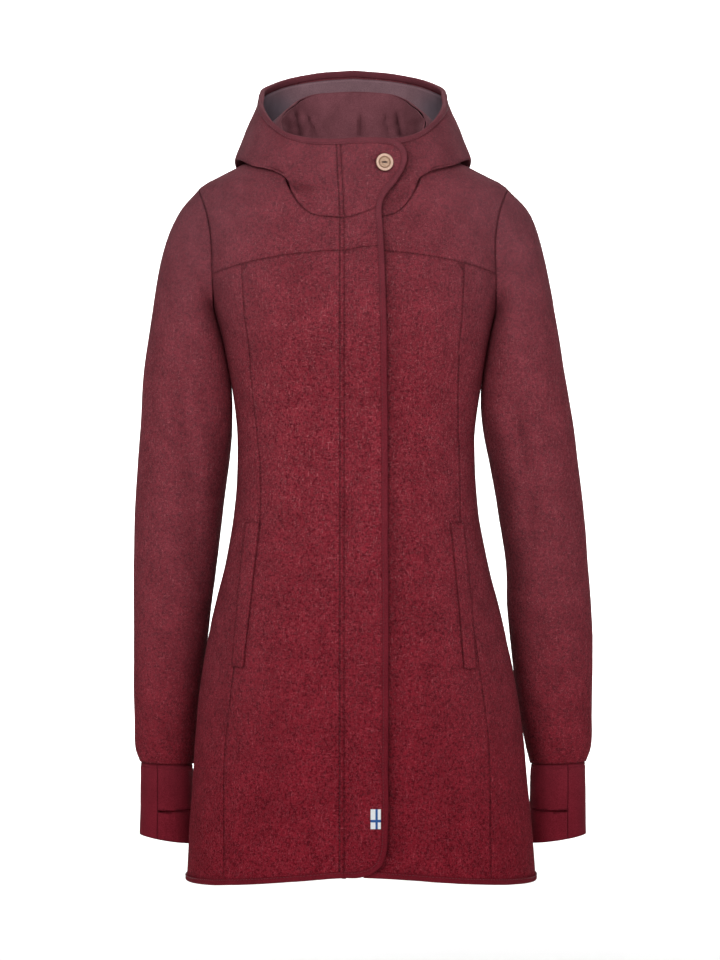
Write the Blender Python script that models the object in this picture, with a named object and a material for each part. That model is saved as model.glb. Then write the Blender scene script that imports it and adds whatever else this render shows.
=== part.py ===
"""Hooded A-line coat in boiled-wool fleece, filled out as if worn, with nobody in it.

The origin is the middle of the neck base, at the height of the shoulder line. X runs across the coat
to the wearer's left, Y from front to back, Z up. Lengths are millimetres, and MM turns them into
metres where a mesh is made. Right and left in names are the wearer's.
"""

from math import pi, radians

import bmesh
import bpy
import mathutils
import numpy as np

MM = 0.001

# Cloth and sewing
WOOL = 2.8
JERSEY = 1.3
TAPE = 1.0
SEAM_GAP = 0.3
ARMHOLE_GAP = 0.6
HOOD_GAP = 0.3
HALF_GAP = SEAM_GAP / 2
BINDING_WIDTH = 7.5
TAPE_EASE = 0.7
BOUND_EDGE = TAPE + TAPE_EASE
BAND_RISE = 6.8
MERGE = 1e-6
SOLVE_STEPS = 22

# The body of the coat, ring by ring from the neck to below the hem
TORSO_COLUMNS = ("height", "centre", "half_width", "front", "back", "squareness")
TORSO_ROWS = (
    (14, -3.5, 60, 50, 58, 2.0),
    (6, -3.5, 77, 62, 70, 2.0),
    (-5, -3.5, 99, 74, 80, 2.1),
    (-20, -3.5, 129, 84, 90, 2.2),
    (-36, -3.5, 160, 91, 97, 2.4),
    (-46, -3.5, 179, 94, 101, 2.5),
    (-53, -3.5, 187, 96, 103, 2.5),
    (-62, -3.5, 190, 98, 105, 2.5),
    (-84, -3.5, 192, 102, 109, 2.5),
    (-120, -3, 188, 110, 114, 2.5),
    (-155, -2, 180, 118, 116, 2.5),
    (-195, -1, 169, 124, 114, 2.4),
    (-240, 0, 158, 121, 108, 2.3),
    (-285, 0.5, 150, 113, 101, 2.2),
    (-345, 0.5, 142.5, 105, 96, 2.15),
    (-381, 0.5, 142.5, 104, 97, 2.15),
    (-435, 0.5, 146.5, 110, 106, 2.15),
    (-500, 1, 158, 121, 119, 2.15),
    (-580, 1.5, 177.5, 133, 134, 2.2),
    (-660, 3, 191, 142, 146, 2.2),
    (-760, 5, 201, 150, 156, 2.2),
    (-890, 6.5, 210, 159, 166, 2.2),
)

# Seams of the body
NECKLINE_COLUMNS = ("angle", "height")
NECKLINE_ROWS = (
    (0, -92), (16, -91), (26, -87), (33, -75), (38, -60), (44, -38), (51, -20),
    (65, -6), (80, 1), (92, 4), (130, 8), (180, 9),
)
ARMHOLE_MIDDLE = -122
ARMHOLE_HALF_HEIGHT = 73
ARMHOLE_FRONT = radians(20.5)
ARMHOLE_BACK = radians(24)
ARMHOLE_ROUNDNESS = 0.8
YOKE_AT_ARMHOLE = radians(117)
YOKE_CENTRE = -131
YOKE_CURVE = 2.2
PRINCESS_COLUMNS = ("height", "right", "left")
PRINCESS_ROWS = (
    (-145, -134, 127), (-188, -132, 126), (-246, -127, 123), (-316, -120, 121), (-375, -114, 123),
    (-458, -114, 125), (-530, -128, 133), (-587, -139, 141), (-656, -148, 151), (-716, -153, 156),
    (-772, -154, 157), (-890, -155, 158),
)
HEIGHT_AT_NECK = -92
HEM_CENTRE = -858
HEM_DROP = 19
HEM_CURVE = 1.6

# The overlapping front band: its seam, and the bound outline of its free edge
BAND_SEAM = -13.5
BAND_SEAM_AT_RIM = -18
BAND_RISE_WIDTH = 20
UNDERLAP = 9
OUTLINE_COLUMNS = ("across", "height", "steps")
OUTLINE_ROWS = (
    (-18, 1.3, 3), (14, 1, 1), (36, 0.4, 2), (48, -3.5, 2), (56.5, -11, 2), (60, -22, 2),
    (56.5, -36, 2), (46, -50, 2), (36.5, -61, 2), (31.3, -73, 1), (30.3, -80, 2), (31.4, -104, 1),
    (33, -127, 2), (34.6, -180, 3), (35.6, -270, 4), (36.5, -376, 4), (37.2, -500, 4),
    (37.4, -620, 3), (37.4, -720, 3), (37.3, -808, 2), (35.6, -828, 2), (30.5, -842, 3),
    (20, -852, 2), (5, -857.5, 3), (-13.5, -858.5, 0),
)
TAB_CORNER_ROW = 4
BAND_NECK_ROW = 10
BAND_YOKE_ROW = 12
HEM_CORNER_ROW = 21
BAND_NECK_CURVE = 1.5

# Hood, lying back as a pouch: sections turned round the neck, from front (0) to back (180)
HOOD_CENTRE = -3.5
HOOD_COLUMNS = ("angle", "under", "under_z", "fold", "fold_z", "side", "side_z", "rim", "rim_z")
HOOD_ROWS = (
    (0, 102, -70, 101.5, -46, 100.5, -22, 98, 1.3),
    (20, 104, -70, 105, -47, 104, -22, 101, 1.6),
    (30, 108, -67, 109, -47, 107.5, -22, 104, 3),
    (38, 119, -53, 119, -43, 115, -20, 106, 6),
    (45, 119, -36, 127, -36, 120, -12, 107, 10),
    (60, 119, -16, 135, -28, 125.5, -2, 107.5, 24),
    (75, 116, -4, 137, -19, 125, 9, 109.5, 41),
    (90, 113, 0, 141, -15, 127, 17, 110, 53),
    (110, 112, 0, 147.5, -26, 139.5, 20, 117.5, 67),
    (135, 104, -6, 153.5, -58, 163, 14, 147.5, 87),
    (150, 100, -12, 154, -78, 175, 8, 157, 100),
    (165, 97, -13, 149, -92, 177, 4, 154, 108),
    (180, 97, -14, 147, -97, 178, 3, 150, 111),
)
HOOD_PLACES = (0, 0.25, 0.5, 0.75, 1)
LINING_EASE = 4.8
NECK_LINING_EASE = 4.4
NECK_LINING_FOOT = 0.05
LINING_START = 57
NECK_LINING_ROWS = (0, 0.25, 0.5, 0.75, 1)
POUCH_PLACES = (0, 0.1, 0.34, 0.56, 0.74, 0.87, 1)
POUCH_ROWS = (0, 0.05, 0.1, 0.22, 0.34, 0.45, 0.56, 0.65, 0.74, 0.87, 1)
RIDGE_COLUMNS = ("angle", "ridge", "ridge_z")
RIDGE_ROWS = (
    (55, 99, 10), (65, 95, 23), (75, 87, 33), (90, 79, 43), (113, 75, 54), (125, 77, 61),
    (142, 75, 69), (160, 69, 72), (180, 65, 73),
)

# Sleeves: outer and inner edge of each section seen from the front, and its place and depth in Y
SLEEVE_COLUMNS = ("row", "outer", "outer_z", "inner", "inner_z", "middle_y", "half_depth")
RIGHT_SLEEVE_ROWS = (
    (1, -213, -80, -174.5, -206, 4, 62),
    (2, -233, -132, -164.5, -228, 5, 65),
    (3, -245, -200, -156, -262, 8, 66),
    (4, -254, -260, -150.5, -295, 12, 64),
    (5, -259, -320, -148.5, -335, 16, 62),
    (6, -263, -378, -152.5, -380, 21, 59),
    (7, -267, -440, -160, -440, 28, 56),
    (8, -269, -500, -168, -500, 36, 53),
    (9, -270, -560, -176, -560, 44, 51),
    (10, -270, -620, -183, -620, 52, 49),
    (11, -270, -680, -190, -680, 59, 47),
    (12, -269, -722, -194, -724, 62, 44),
    (13, -263, -741, -197, -744, 63, 38),
)
LEFT_SLEEVE_ROWS = (
    (1, 209.5, -80, 171, -206, 4, 62),
    (2, 227.5, -135, 164.5, -228, 5, 65),
    (3, 239.5, -200, 156.5, -262, 8, 66),
    (4, 250, -262, 152, -295, 12, 64),
    (5, 261, -325, 152, -335, 16, 62),
    (6, 269, -385, 161, -380, 21, 59),
    (7, 276, -445, 172, -440, 28, 56),
    (8, 282, -510, 181, -500, 36, 53),
    (9, 286, -565, 184, -560, 44, 51),
    (10, 288, -620, 190, -620, 54, 49),
    (11, 288, -680, 199, -680, 63, 47),
    (12, 287, -720, 207, -724, 68, 44),
    (13, 281, -741, 212, -744, 69, 38),
)
SLEEVE_RINGS = 21
CUFF_LENGTH = 88
CUFF_WALL = 2.2
CUFF_INSET = 1.5
THUMB_SLIT = (42, 1.2)
THUMB_SLIT_DROP = 55

# Pockets, label and button
WELT_COLUMNS = ("height", "inner", "outer")
RIGHT_WELT_ROWS = ((-449, -112, -129), (-535, -121, -137.5), (-618, -129.5, -145))
LEFT_WELT_ROWS = ((-450, 110.5, 126), (-535, 118.5, 134), (-620, 125.5, 141))
WELT_WALL = 2.4
LABEL_LEFT = 17
LABEL_WIDTH = 11.5
LABEL_TOP = -779
LABEL_HEIGHT = 22.7
LABEL_WALL = 0.8
BUTTON_PLACE = (34.5, -26.7)
BUTTON_RADIUS = 11
BUTTON_RIM = 3.6
BUTTON_DISH = 2.6
BUTTON_DISH_RADIUS = 8.2
BUTTON_HOLE_RADIUS = 0.9
BUTTON_HOLE_SPACING = 3.4

# How finely each piece is cut into facets
BODY_ROWS = 24
SHOULDER_STEPS = 3
ARMHOLE_STEPS = 6
UNDERARM_STEPS = 4
CENTRE_COLUMNS = 5
SIDE_COLUMNS = 6
YOKE_CORNER_COLUMNS = 2
BACK_COLUMNS = 14
HOOD_CENTRE_COLUMNS = 4
HOOD_ALONG = (0, 0.13, 0.26, 0.38, 0.5, 0.62, 0.75, 0.87)

# Colours, as 8-bit sRGB
WOOL_RED = (120, 48, 57)
LINING_RED = (112, 68, 76)
TAPE_RED = (120, 46, 56)
CUFF_RED = (108, 40, 50)
WOOD = (196, 156, 132)
LABEL_WHITE = (228, 230, 234)


def smooth(at, values, where):
    """A cubic curve through values, one value or one array of them for each place in at."""
    at = np.asarray(at, float)
    where = np.asarray(where, float)
    values = np.asarray(values, float)
    if values.ndim > 1:
        values = np.broadcast_to(values, (len(at),) + where.shape)
    slopes = np.gradient(values, at, axis=0)
    before = np.clip(np.searchsorted(at, where) - 1, 0, len(at) - 2)
    span = at[before + 1] - at[before]
    part = np.clip((where - at[before]) / span, 0, 1)

    def pick(table, step):
        if table.ndim == 1:
            return table[before + step]
        return np.take_along_axis(table, (before + step)[None], axis=0)[0]

    start = (2 * part**3 - 3 * part**2 + 1) * pick(values, 0)
    end = (3 * part**2 - 2 * part**3) * pick(values, 1)
    leave = (part**3 - 2 * part**2 + part) * span * pick(slopes, 0)
    reach = (part**3 - part**2) * span * pick(slopes, 1)
    return start + end + leave + reach


def ease(start, end, where):
    """0 before start, 1 after end, and a soft step between them."""
    part = np.clip((where - start) / (end - start), 0, 1)
    return part * part * (3 - 2 * part)


class Table:
    """Named columns read as smooth curves along the first one."""

    def __init__(self, columns, rows):
        rows = np.array(sorted(rows), float)
        self.at = rows[:, 0]
        self.columns = dict(zip(columns[1:], rows[:, 1:].T))

    def read(self, name, where):
        return smooth(self.at, self.columns[name], where)


TORSO = Table(TORSO_COLUMNS, TORSO_ROWS)
NECKLINE = Table(NECKLINE_COLUMNS, NECKLINE_ROWS)
PRINCESS = Table(PRINCESS_COLUMNS, PRINCESS_ROWS)
HOOD = Table(HOOD_COLUMNS, HOOD_ROWS)
RIDGE = Table(RIDGE_COLUMNS, RIDGE_ROWS)


def turned(angle):
    """The same direction as an angle from 0 (front) to 180 degrees (back), for either side."""
    return np.degrees(np.abs((np.asarray(angle) + pi) % (2 * pi) - pi))


def torso(angle, height):
    """A point on the outside of the body, by its direction from the middle and its height."""
    side, ahead = np.sin(angle), np.cos(angle)
    depth = np.where(ahead > 0, TORSO.read("front", height), TORSO.read("back", height))
    power = TORSO.read("squareness", height)
    width = TORSO.read("half_width", height)
    radius = ((abs(side) / width) ** power + (abs(ahead) / depth) ** power) ** (-1 / power)
    centre = TORSO.read("centre", height)
    return np.stack([centre + radius * side, -radius * ahead, height + 0 * radius], -1)


def outward(surface, first, second, first_step, second_step):
    """Unit normals of surface(first, second), pointing out of the cloth."""
    across = surface(first + first_step, second) - surface(first - first_step, second)
    along = surface(first, second + second_step) - surface(first, second - second_step)
    normal = np.cross(across, along)
    return normal / np.linalg.norm(normal, axis=-1, keepdims=True)


def torso_normal(angle, height):
    return outward(torso, angle, height, 0.002, 0.4)


def solve(function, target, low, high):
    """Where a rising function meets its target, by halving."""
    low = np.full(np.shape(target), float(low))
    high = np.full(np.shape(target), float(high))
    for _ in range(SOLVE_STEPS):
        middle = (low + high) / 2
        above = function(middle) > target
        high = np.where(above, middle, high)
        low = np.where(above, low, middle)
    return (low + high) / 2


def front_angle(across, height):
    """The direction of the point on the front of the body that lies this far across."""
    return solve(lambda angle: torso(angle, height)[..., 0], across, -pi / 2, pi / 2)


def neckline(angle):
    return NECKLINE.read("height", turned(angle))


def hood_sections(angle):
    """Radius and height of the five places that each hood section passes through."""
    way = turned(angle)
    seam = torso(angle, neckline(angle))
    radius = np.hypot(seam[..., 0] - HOOD_CENTRE, seam[..., 1])
    lift = ease(26, 50, way)
    radii = [radius - 1.2 * lift] + [HOOD.read(n, way) for n in ("under", "fold", "side", "rim")]
    heights = [seam[..., 2] + 0.3 + 1.6 * lift]
    heights += [HOOD.read(n + "_z", way) for n in ("under", "fold", "side", "rim")]
    return np.stack(radii), np.stack(heights)


def turn_section(angle, radius, height):
    return np.stack(
        [HOOD_CENTRE + radius * np.sin(angle), -radius * np.cos(angle), height], -1
    )


def hood(angle, along):
    """A point on the outside of the hood, from the neck seam (0) to the rim (1)."""
    radii, heights = hood_sections(angle)
    along = np.clip(along, 0, 1)
    return turn_section(
        angle, smooth(HOOD_PLACES, radii, along), smooth(HOOD_PLACES, heights, along)
    )


def hood_normal(angle, along):
    return outward(hood, angle, along, 0.002, 0.004)


def collar_along(angle, height):
    """How far up the hood section a height lies, at the front where the collar stands."""
    return solve(lambda along: hood(angle, along)[..., 2], height, 0, 1)


def collar_angle(across, height):
    return solve(
        lambda angle: hood(angle, collar_along(angle, height))[..., 0], across, -0.6, 0.64
    )


def front(across, height):
    """Point and normal on the front, on the collar above the neck seam and the body below it."""
    across, height = np.broadcast_arrays(np.asarray(across, float), np.asarray(height, float))
    angle = front_angle(across, height)
    point, normal = torso(angle, height), torso_normal(angle, height)
    near = height > HEIGHT_AT_NECK - 1
    if near.any():
        angle = collar_angle(across[near], height[near])
        along = collar_along(angle, height[near])
        on_collar = (height[near] > neckline(angle) + 0.3)[:, None]
        point[near] = np.where(on_collar, hood(angle, along), point[near])
        normal[near] = np.where(on_collar, hood_normal(angle, along), normal[near])
    return point, normal


def coons(left, right, top, bottom):
    """Fill the patch between four edges, given top to bottom and left to right."""
    left, right, top, bottom = (np.asarray(edge, float) for edge in (left, right, top, bottom))
    down = np.linspace(0, 1, len(left))[:, None, None]
    over = np.linspace(0, 1, len(top))[None, :, None]
    ruled = (1 - over) * left[:, None] + over * right[:, None]
    hung = (1 - down) * top[None] + down * bottom[None]
    corners = (1 - down) * ((1 - over) * top[0] + over * top[-1])
    corners = corners + down * ((1 - over) * bottom[0] + over * bottom[-1])
    return ruled + hung - corners


def draw_in(points, edge_gaps):
    """Draw the edges of a patch in by these distances: left, right, top, bottom."""
    drawn = points.copy()
    left, right, top, bottom = edge_gaps
    for gap, edge, inside in (
        (left, np.s_[:, 0], np.s_[:, 1]),
        (right, np.s_[:, -1], np.s_[:, -2]),
        (top, np.s_[0], np.s_[1]),
        (bottom, np.s_[-1], np.s_[-2]),
    ):
        way = points[inside] - points[edge]
        way /= np.linalg.norm(way, axis=-1, keepdims=True)
        drawn[edge] += gap * way
    return drawn


def material(name, colour, roughness):
    made = bpy.data.materials.new(name)
    made.use_nodes = True
    shader = made.node_tree.nodes["Principled BSDF"]
    linear = [(part / 255) ** 2.2 for part in colour]
    shader.inputs["Base Color"].default_value = (*linear, 1)
    shader.inputs["Roughness"].default_value = roughness
    shader.inputs["Metallic"].default_value = 0
    made.diffuse_color = (*linear, 1)
    return made


def place_object(name, bm, finish, collection):
    mesh = bpy.data.meshes.new(name)
    bmesh.ops.recalc_face_normals(bm, faces=bm.faces)
    bm.to_mesh(mesh)
    bm.free()
    mesh.materials.append(finish)
    mesh.shade_smooth()
    mesh.set_sharp_from_angle(angle=radians(50))
    made = bpy.data.objects.new(name, mesh)
    collection.objects.link(made)
    return made


def cloth_wall(name, points, normals, wall, finish, collection, ring=False):
    """A patch of cloth: a grid laid on its outer face, then given its thickness inwards."""
    bm = bmesh.new()
    bmesh.ops.create_grid(bm, x_segments=points.shape[1] - 1, y_segments=points.shape[0] - 1)
    step = bm.verts.layers.float_vector.new("step")
    for vert, point, normal in zip(bm.verts, points.reshape(-1, 3), normals.reshape(-1, 3)):
        vert.co = point * MM
        vert[step] = -normal * wall * MM
    if ring:
        bmesh.ops.remove_doubles(bm, verts=bm.verts, dist=MERGE)
    made = bmesh.ops.extrude_face_region(bm, geom=bm.faces[:])
    for vert in made["geom"]:
        if isinstance(vert, bmesh.types.BMVert):
            vert.co += vert[step]
    return place_object(name, bm, finish, collection)


def hem(angle):
    """Height of the hem, which falls from the middle of the front to the sides and stays there."""
    sideways = np.where(np.cos(angle) > 0, np.abs(np.sin(angle)), 1)
    return HEM_CENTRE - HEM_DROP * sideways**HEM_CURVE


def armhole(around, side, face):
    """Armhole seam from the shoulder (0) to the underarm (pi), on the front (1) or back (-1) face."""
    swing = (ARMHOLE_FRONT if face > 0 else ARMHOLE_BACK) * np.sin(around) ** ARMHOLE_ROUNDNESS
    height = ARMHOLE_MIDDLE + ARMHOLE_HALF_HEIGHT * np.cos(around)
    return np.stack([side * (pi / 2 - face * swing), height], -1)


def arc(start, end, steps):
    return np.linspace(start, end, steps + 1)


def on_front(across, height):
    across, height = np.broadcast_arrays(np.asarray(across, float), np.asarray(height, float))
    return np.stack([front_angle(across, height), height], -1)


def yoke_height(across, side):
    corner = armhole(np.array(YOKE_AT_ARMHOLE), side, 1)
    reach = torso(corner[0], corner[1])[0]
    return YOKE_CENTRE + (corner[1] - YOKE_CENTRE) * abs(across / reach) ** YOKE_CURVE


def princess_across(height, side):
    return PRINCESS.read("right" if side < 0 else "left", height)


def princess_top(side):
    across = princess_across(YOKE_CENTRE, side)
    return across, yoke_height(across, side)


def princess_seam(side):
    top = princess_top(side)[1]
    foot = on_front(princess_across(HEM_CENTRE, side), HEM_CENTRE)
    height = np.linspace(top, hem(foot[0]), BODY_ROWS + 1)
    return on_front(princess_across(height, side), height)


def front_opening(side):
    """Where each front ends at the middle: at the band's seam, or a little way under the band."""
    return BAND_SEAM if side < 0 else UNDERLAP


def hem_edge(start, end, columns):
    angle = np.linspace(start, end, columns + 1)
    return np.stack([angle, hem(angle)], -1)


def yoke_centre_seam(side):
    across = np.linspace(front_opening(side), princess_top(side)[0], CENTRE_COLUMNS + 1)
    return on_front(across, yoke_height(across, side))


def yoke_corner_seam(side):
    corner = armhole(np.array(YOKE_AT_ARMHOLE), side, 1)
    across = np.linspace(
        princess_top(side)[0], torso(corner[0], corner[1])[0], YOKE_CORNER_COLUMNS + 1
    )
    seam = on_front(across, yoke_height(across, side))
    seam[-1] = corner
    return seam


def body_panel(name, grid, gaps, finish, collection):
    points = draw_in(torso(grid[..., 0], grid[..., 1]), gaps)
    normals = torso_normal(grid[..., 0], grid[..., 1])
    return cloth_wall(name, points, normals, WOOL, finish, collection)


def join(*edges):
    """One edge out of several that follow each other."""
    return np.concatenate([edges[0]] + [edge[1:] for edge in edges[1:]])


def front_centre(side, name, finish, collection):
    top = yoke_centre_seam(side)
    outer = princess_seam(side)
    bottom = hem_edge(on_front(front_opening(side), HEM_CENTRE)[0], outer[-1, 0], CENTRE_COLUMNS)
    heights = np.linspace(top[0, 1], bottom[0, 1], BODY_ROWS + 1)
    inner = on_front(front_opening(side), heights)
    grid = coons(inner, outer, top, bottom)
    gaps = (HALF_GAP, HALF_GAP, HALF_GAP, BOUND_EDGE)
    return body_panel(name, grid, gaps, finish, collection)


def front_side(side, name, finish, collection):
    inner = princess_seam(side)
    around = arc(YOKE_AT_ARMHOLE, pi, UNDERARM_STEPS)
    top = join(yoke_corner_seam(side), armhole(around, side, 1))
    bottom = hem_edge(inner[-1, 0], side * pi / 2, SIDE_COLUMNS)
    heights = np.linspace(top[-1, 1], bottom[-1, 1], BODY_ROWS + 1)
    outer = np.stack([np.full_like(heights, side * pi / 2), heights], -1)
    grid = coons(inner, outer, top, bottom)
    gaps = (HALF_GAP, HALF_GAP, HALF_GAP, BOUND_EDGE)
    return body_panel(name, grid, gaps, finish, collection)


def shoulder_seam(side):
    height = np.linspace(neckline(pi / 2), ARMHOLE_MIDDLE + ARMHOLE_HALF_HEIGHT, SHOULDER_STEPS + 1)
    return np.stack([np.full_like(height, side * pi / 2), height], -1)


def neckline_angles(side):
    """Directions of evenly spaced places on the neckline, from the front opening to the shoulder."""
    start = solve(lambda angle: torso(angle, neckline(angle))[..., 0], front_opening(side), -1, 1)
    angle = np.linspace(start, side * pi / 2, 90)
    seam = torso(angle, neckline(angle))
    run = np.r_[0, np.cumsum(np.linalg.norm(np.diff(seam, axis=0), axis=1))]
    places = np.linspace(0, run[-1], CENTRE_COLUMNS + YOKE_CORNER_COLUMNS + 1)
    return np.interp(places, run, angle)


def front_yoke(side, name, finish, collection):
    bottom = join(yoke_centre_seam(side), yoke_corner_seam(side))
    outer = join(shoulder_seam(side), armhole(arc(0, YOKE_AT_ARMHOLE, ARMHOLE_STEPS), side, 1))
    angle = neckline_angles(side)
    top = np.stack([angle, neckline(angle)], -1)
    heights = np.linspace(top[0, 1], bottom[0, 1], len(outer))
    inner = on_front(front_opening(side), heights)
    grid = coons(inner, outer, top, bottom)
    return body_panel(name, grid, (HALF_GAP,) * 4, finish, collection)


def back(name, finish, collection):
    edges = []
    for side in (1, -1):
        hang = armhole(arc(0, pi, ARMHOLE_STEPS), side, -1)
        heights = np.linspace(hang[-1, 1], hem(pi), BODY_ROWS + 1)
        seam = np.stack([np.full_like(heights, side * pi / 2), heights], -1)
        edge = join(shoulder_seam(side), hang, seam)
        edge[:, 0] %= 2 * pi
        edges.append(edge)
    angle = np.linspace(pi / 2, 3 * pi / 2, BACK_COLUMNS + 1)
    top = np.stack([angle, neckline(angle)], -1)
    bottom = np.stack([angle, hem(pi) + 0 * angle], -1)
    grid = coons(edges[0], edges[1], top, bottom)
    gaps = (HALF_GAP, HALF_GAP, HALF_GAP, BOUND_EDGE)
    return body_panel(name, grid, gaps, finish, collection)


def sleeve_turns():
    """Places round a sleeve, level with the places along the armhole, from the shoulder down the front."""
    front_edge = join(arc(0, YOKE_AT_ARMHOLE, ARMHOLE_STEPS), arc(YOKE_AT_ARMHOLE, pi, UNDERARM_STEPS))
    return join(front_edge, arc(pi, 2 * pi, ARMHOLE_STEPS))


def sleeve_rings(rows, side):
    """Rings of points round a sleeve: the armhole seam, then one for each row of the table."""
    around = sleeve_turns()
    seam = [
        armhole(np.array(turn if turn <= pi else 2 * pi - turn), side, 1 if turn <= pi else -1)
        for turn in around
    ]
    rings = [torso(*np.array(seam).T)]
    for _, outer, outer_z, inner, inner_z, middle_y, half_depth in rows:
        swing = np.cos(around)
        across = (outer + inner) / 2 + swing * (outer - inner) / 2
        height = (outer_z + inner_z) / 2 + swing * (outer_z - inner_z) / 2
        rings.append(np.stack([across, middle_y - half_depth * np.sin(around), height], -1))
    return np.stack(rings)


def ring_normals(points):
    """Normals of rings of points, pointing away from the middle of each ring."""
    along = np.gradient(points, axis=0)
    around = np.roll(points[:, :-1], -1, axis=1) - np.roll(points[:, :-1], 1, axis=1)
    around = np.concatenate([around, around[:, :1]], axis=1)
    normal = np.cross(around, along)
    normal /= np.linalg.norm(normal, axis=-1, keepdims=True)
    middle = points[:, :-1].mean(axis=1, keepdims=True)
    return normal * np.sign((normal * (points - middle)).sum(-1, keepdims=True).mean())


def sleeve(name, rows, side, finish, collection):
    rings = sleeve_rings(rows, side)
    where = np.linspace(0, len(rows), SLEEVE_RINGS)[:, None] + np.zeros(len(sleeve_turns()))
    places = np.arange(len(rows) + 1)
    points = np.stack(
        [smooth(places, rings[:, None, :, axis], where) for axis in range(3)], -1
    )
    normals = ring_normals(points)
    points = draw_in(points, (0, 0, ARMHOLE_GAP, 0))
    return cloth_wall(name, points, normals, WOOL, finish, collection, ring=True)


def cuff(name, rows, side, finish, collection, cutters):
    last = np.array(rows[-1], float)
    _, outer, outer_z, inner, inner_z, middle_y, half_depth = last
    around = sleeve_turns()
    swing = np.cos(around)
    half = abs(outer - inner) / 2 - CUFF_INSET
    rings = []
    for part in np.linspace(0, 1, 5):
        across = (outer + inner) / 2 + side * swing * half - side * 1.5 * part
        height = (outer_z + inner_z) / 2 + swing * (outer_z - inner_z) / 2 - SEAM_GAP - 0.3
        drop = part * (CUFF_LENGTH + 4 * (1 - swing))
        depth = half_depth - CUFF_INSET
        rings.append(np.stack([across, middle_y - depth * np.sin(around), height - drop], -1))
    points = np.stack(rings)
    wall = cloth_wall(name, points, ring_normals(points), CUFF_WALL, finish, collection, ring=True)
    bm = bmesh.new()
    bmesh.ops.create_cube(bm, size=1)
    length, opening = THUMB_SLIT
    slit = np.array([length, length, opening]) * MM
    middle = np.array([
        (outer + inner) / 2 - side * length / 2, middle_y - half_depth - 2, outer_z - THUMB_SLIT_DROP,
    ]) * MM
    for vert in bm.verts:
        vert.co = [place * size + at for place, size, at in zip(vert.co, slit, middle)]
    cutter = place_object(name + "_slit_cutter", bm, finish, cutters)
    cutter.hide_render = True
    cutter.display_type = "WIRE"
    cut = wall.modifiers.new("thumb slit", "BOOLEAN")
    cut.object = cutter
    return wall


def draw_outline():
    """The bound outline of the band, sampled along its curve, and where each table row falls in it."""
    rows = np.array(OUTLINE_ROWS, float)
    steps = rows[:-1, 2].astype(int)
    runs = np.r_[0, np.cumsum(np.hypot(*np.diff(rows[:, :2], axis=0).T))]
    where = np.concatenate(
        [np.linspace(a, b, n, endpoint=False) for a, b, n in zip(runs, runs[1:], steps)]
        + [runs[-1:]]
    )
    curve = np.stack([smooth(runs, rows[:, axis], where) for axis in (0, 1)], -1)
    return curve, np.r_[0, np.cumsum(steps)]


def inset(curve, distance):
    """Points of the outline moved into the band, square to its edge."""
    way = np.gradient(curve, axis=0)
    way /= np.linalg.norm(way, axis=-1, keepdims=True)
    return curve + distance * np.stack([way[:, 1], -way[:, 0]], -1)


def band_seam(height):
    """Where the band's seam lies across, which leans a little up the collar."""
    up = np.clip((height - HEIGHT_AT_NECK) / -HEIGHT_AT_NECK, 0, 1)
    return BAND_SEAM + (BAND_SEAM_AT_RIM - BAND_SEAM) * up


def band_rise(across, height):
    """How far the band stands over the cloth under it, rising from its seam."""
    seam = band_seam(height)
    return BAND_RISE * ease(seam, seam + BAND_RISE_WIDTH, across)


def band_surface(places, above=0):
    """Point and normal of the band's outer face, or a layer above it, at (across, height)."""
    point, normal = front(places[..., 0], places[..., 1])
    rise = band_rise(places[..., 0], places[..., 1]) + above
    return point + normal * rise[..., None], normal


def band_cross_seam(start, end, columns, curve):
    """A seam across the band between two places."""
    part = np.linspace(0, 1, columns + 1)
    across = start[0] + (end[0] - start[0]) * part
    return np.stack([across, start[1] + (end[1] - start[1]) * part**curve], -1)


def band_pieces(finish, collection):
    curve, row = draw_outline()
    edge = inset(curve, BOUND_EDGE)
    columns = row[TAB_CORNER_ROW]
    collar_top = edge[: columns + 1]
    collar_side = edge[columns : row[BAND_NECK_ROW] + 1]
    yoke_side = edge[row[BAND_NECK_ROW] : row[BAND_YOKE_ROW] + 1]
    lower_side = edge[row[BAND_YOKE_ROW] : row[HEM_CORNER_ROW] + 1]
    foot = edge[row[HEM_CORNER_ROW] :][::-1]
    neck_start = (BAND_SEAM, HEIGHT_AT_NECK)
    neck = band_cross_seam(neck_start, collar_side[-1], columns, BAND_NECK_CURVE)
    yoke_start = (BAND_SEAM, float(yoke_height(BAND_SEAM, -1)))
    yoke = band_cross_seam(yoke_start, yoke_side[-1], columns, 1)
    pieces = (
        ("band_collar", collar_top, collar_side, neck, (HALF_GAP, 0, 0, HALF_GAP)),
        ("band_yoke", neck, yoke_side, yoke, (HALF_GAP, 0, HALF_GAP, HALF_GAP)),
        ("band_front", yoke, lower_side, foot, (HALF_GAP, 0, HALF_GAP, 0)),
    )
    for name, top, side, bottom, gaps in pieces:
        height = np.linspace(top[0, 1], bottom[0, 1], len(side))
        seam = np.stack([band_seam(height), height], -1)
        grid = coons(seam, side, top, bottom)
        points, normals = band_surface(grid)
        cloth_wall(name, draw_in(points, gaps), normals, WOOL, finish, collection)


def tape_section(wall):
    """The folded tape in section: distance in from the bound edge, and height above the cloth."""
    top = TAPE_EASE + TAPE
    under = -wall - top
    return (
        (BINDING_WIDTH, top), (0.8, top), (0, top - 0.8), (0, under + 0.8), (0.8, under),
        (BINDING_WIDTH, under), (BINDING_WIDTH, under + TAPE), (TAPE, under + TAPE),
        (TAPE, top - TAPE), (BINDING_WIDTH, top - TAPE),
    )


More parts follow.
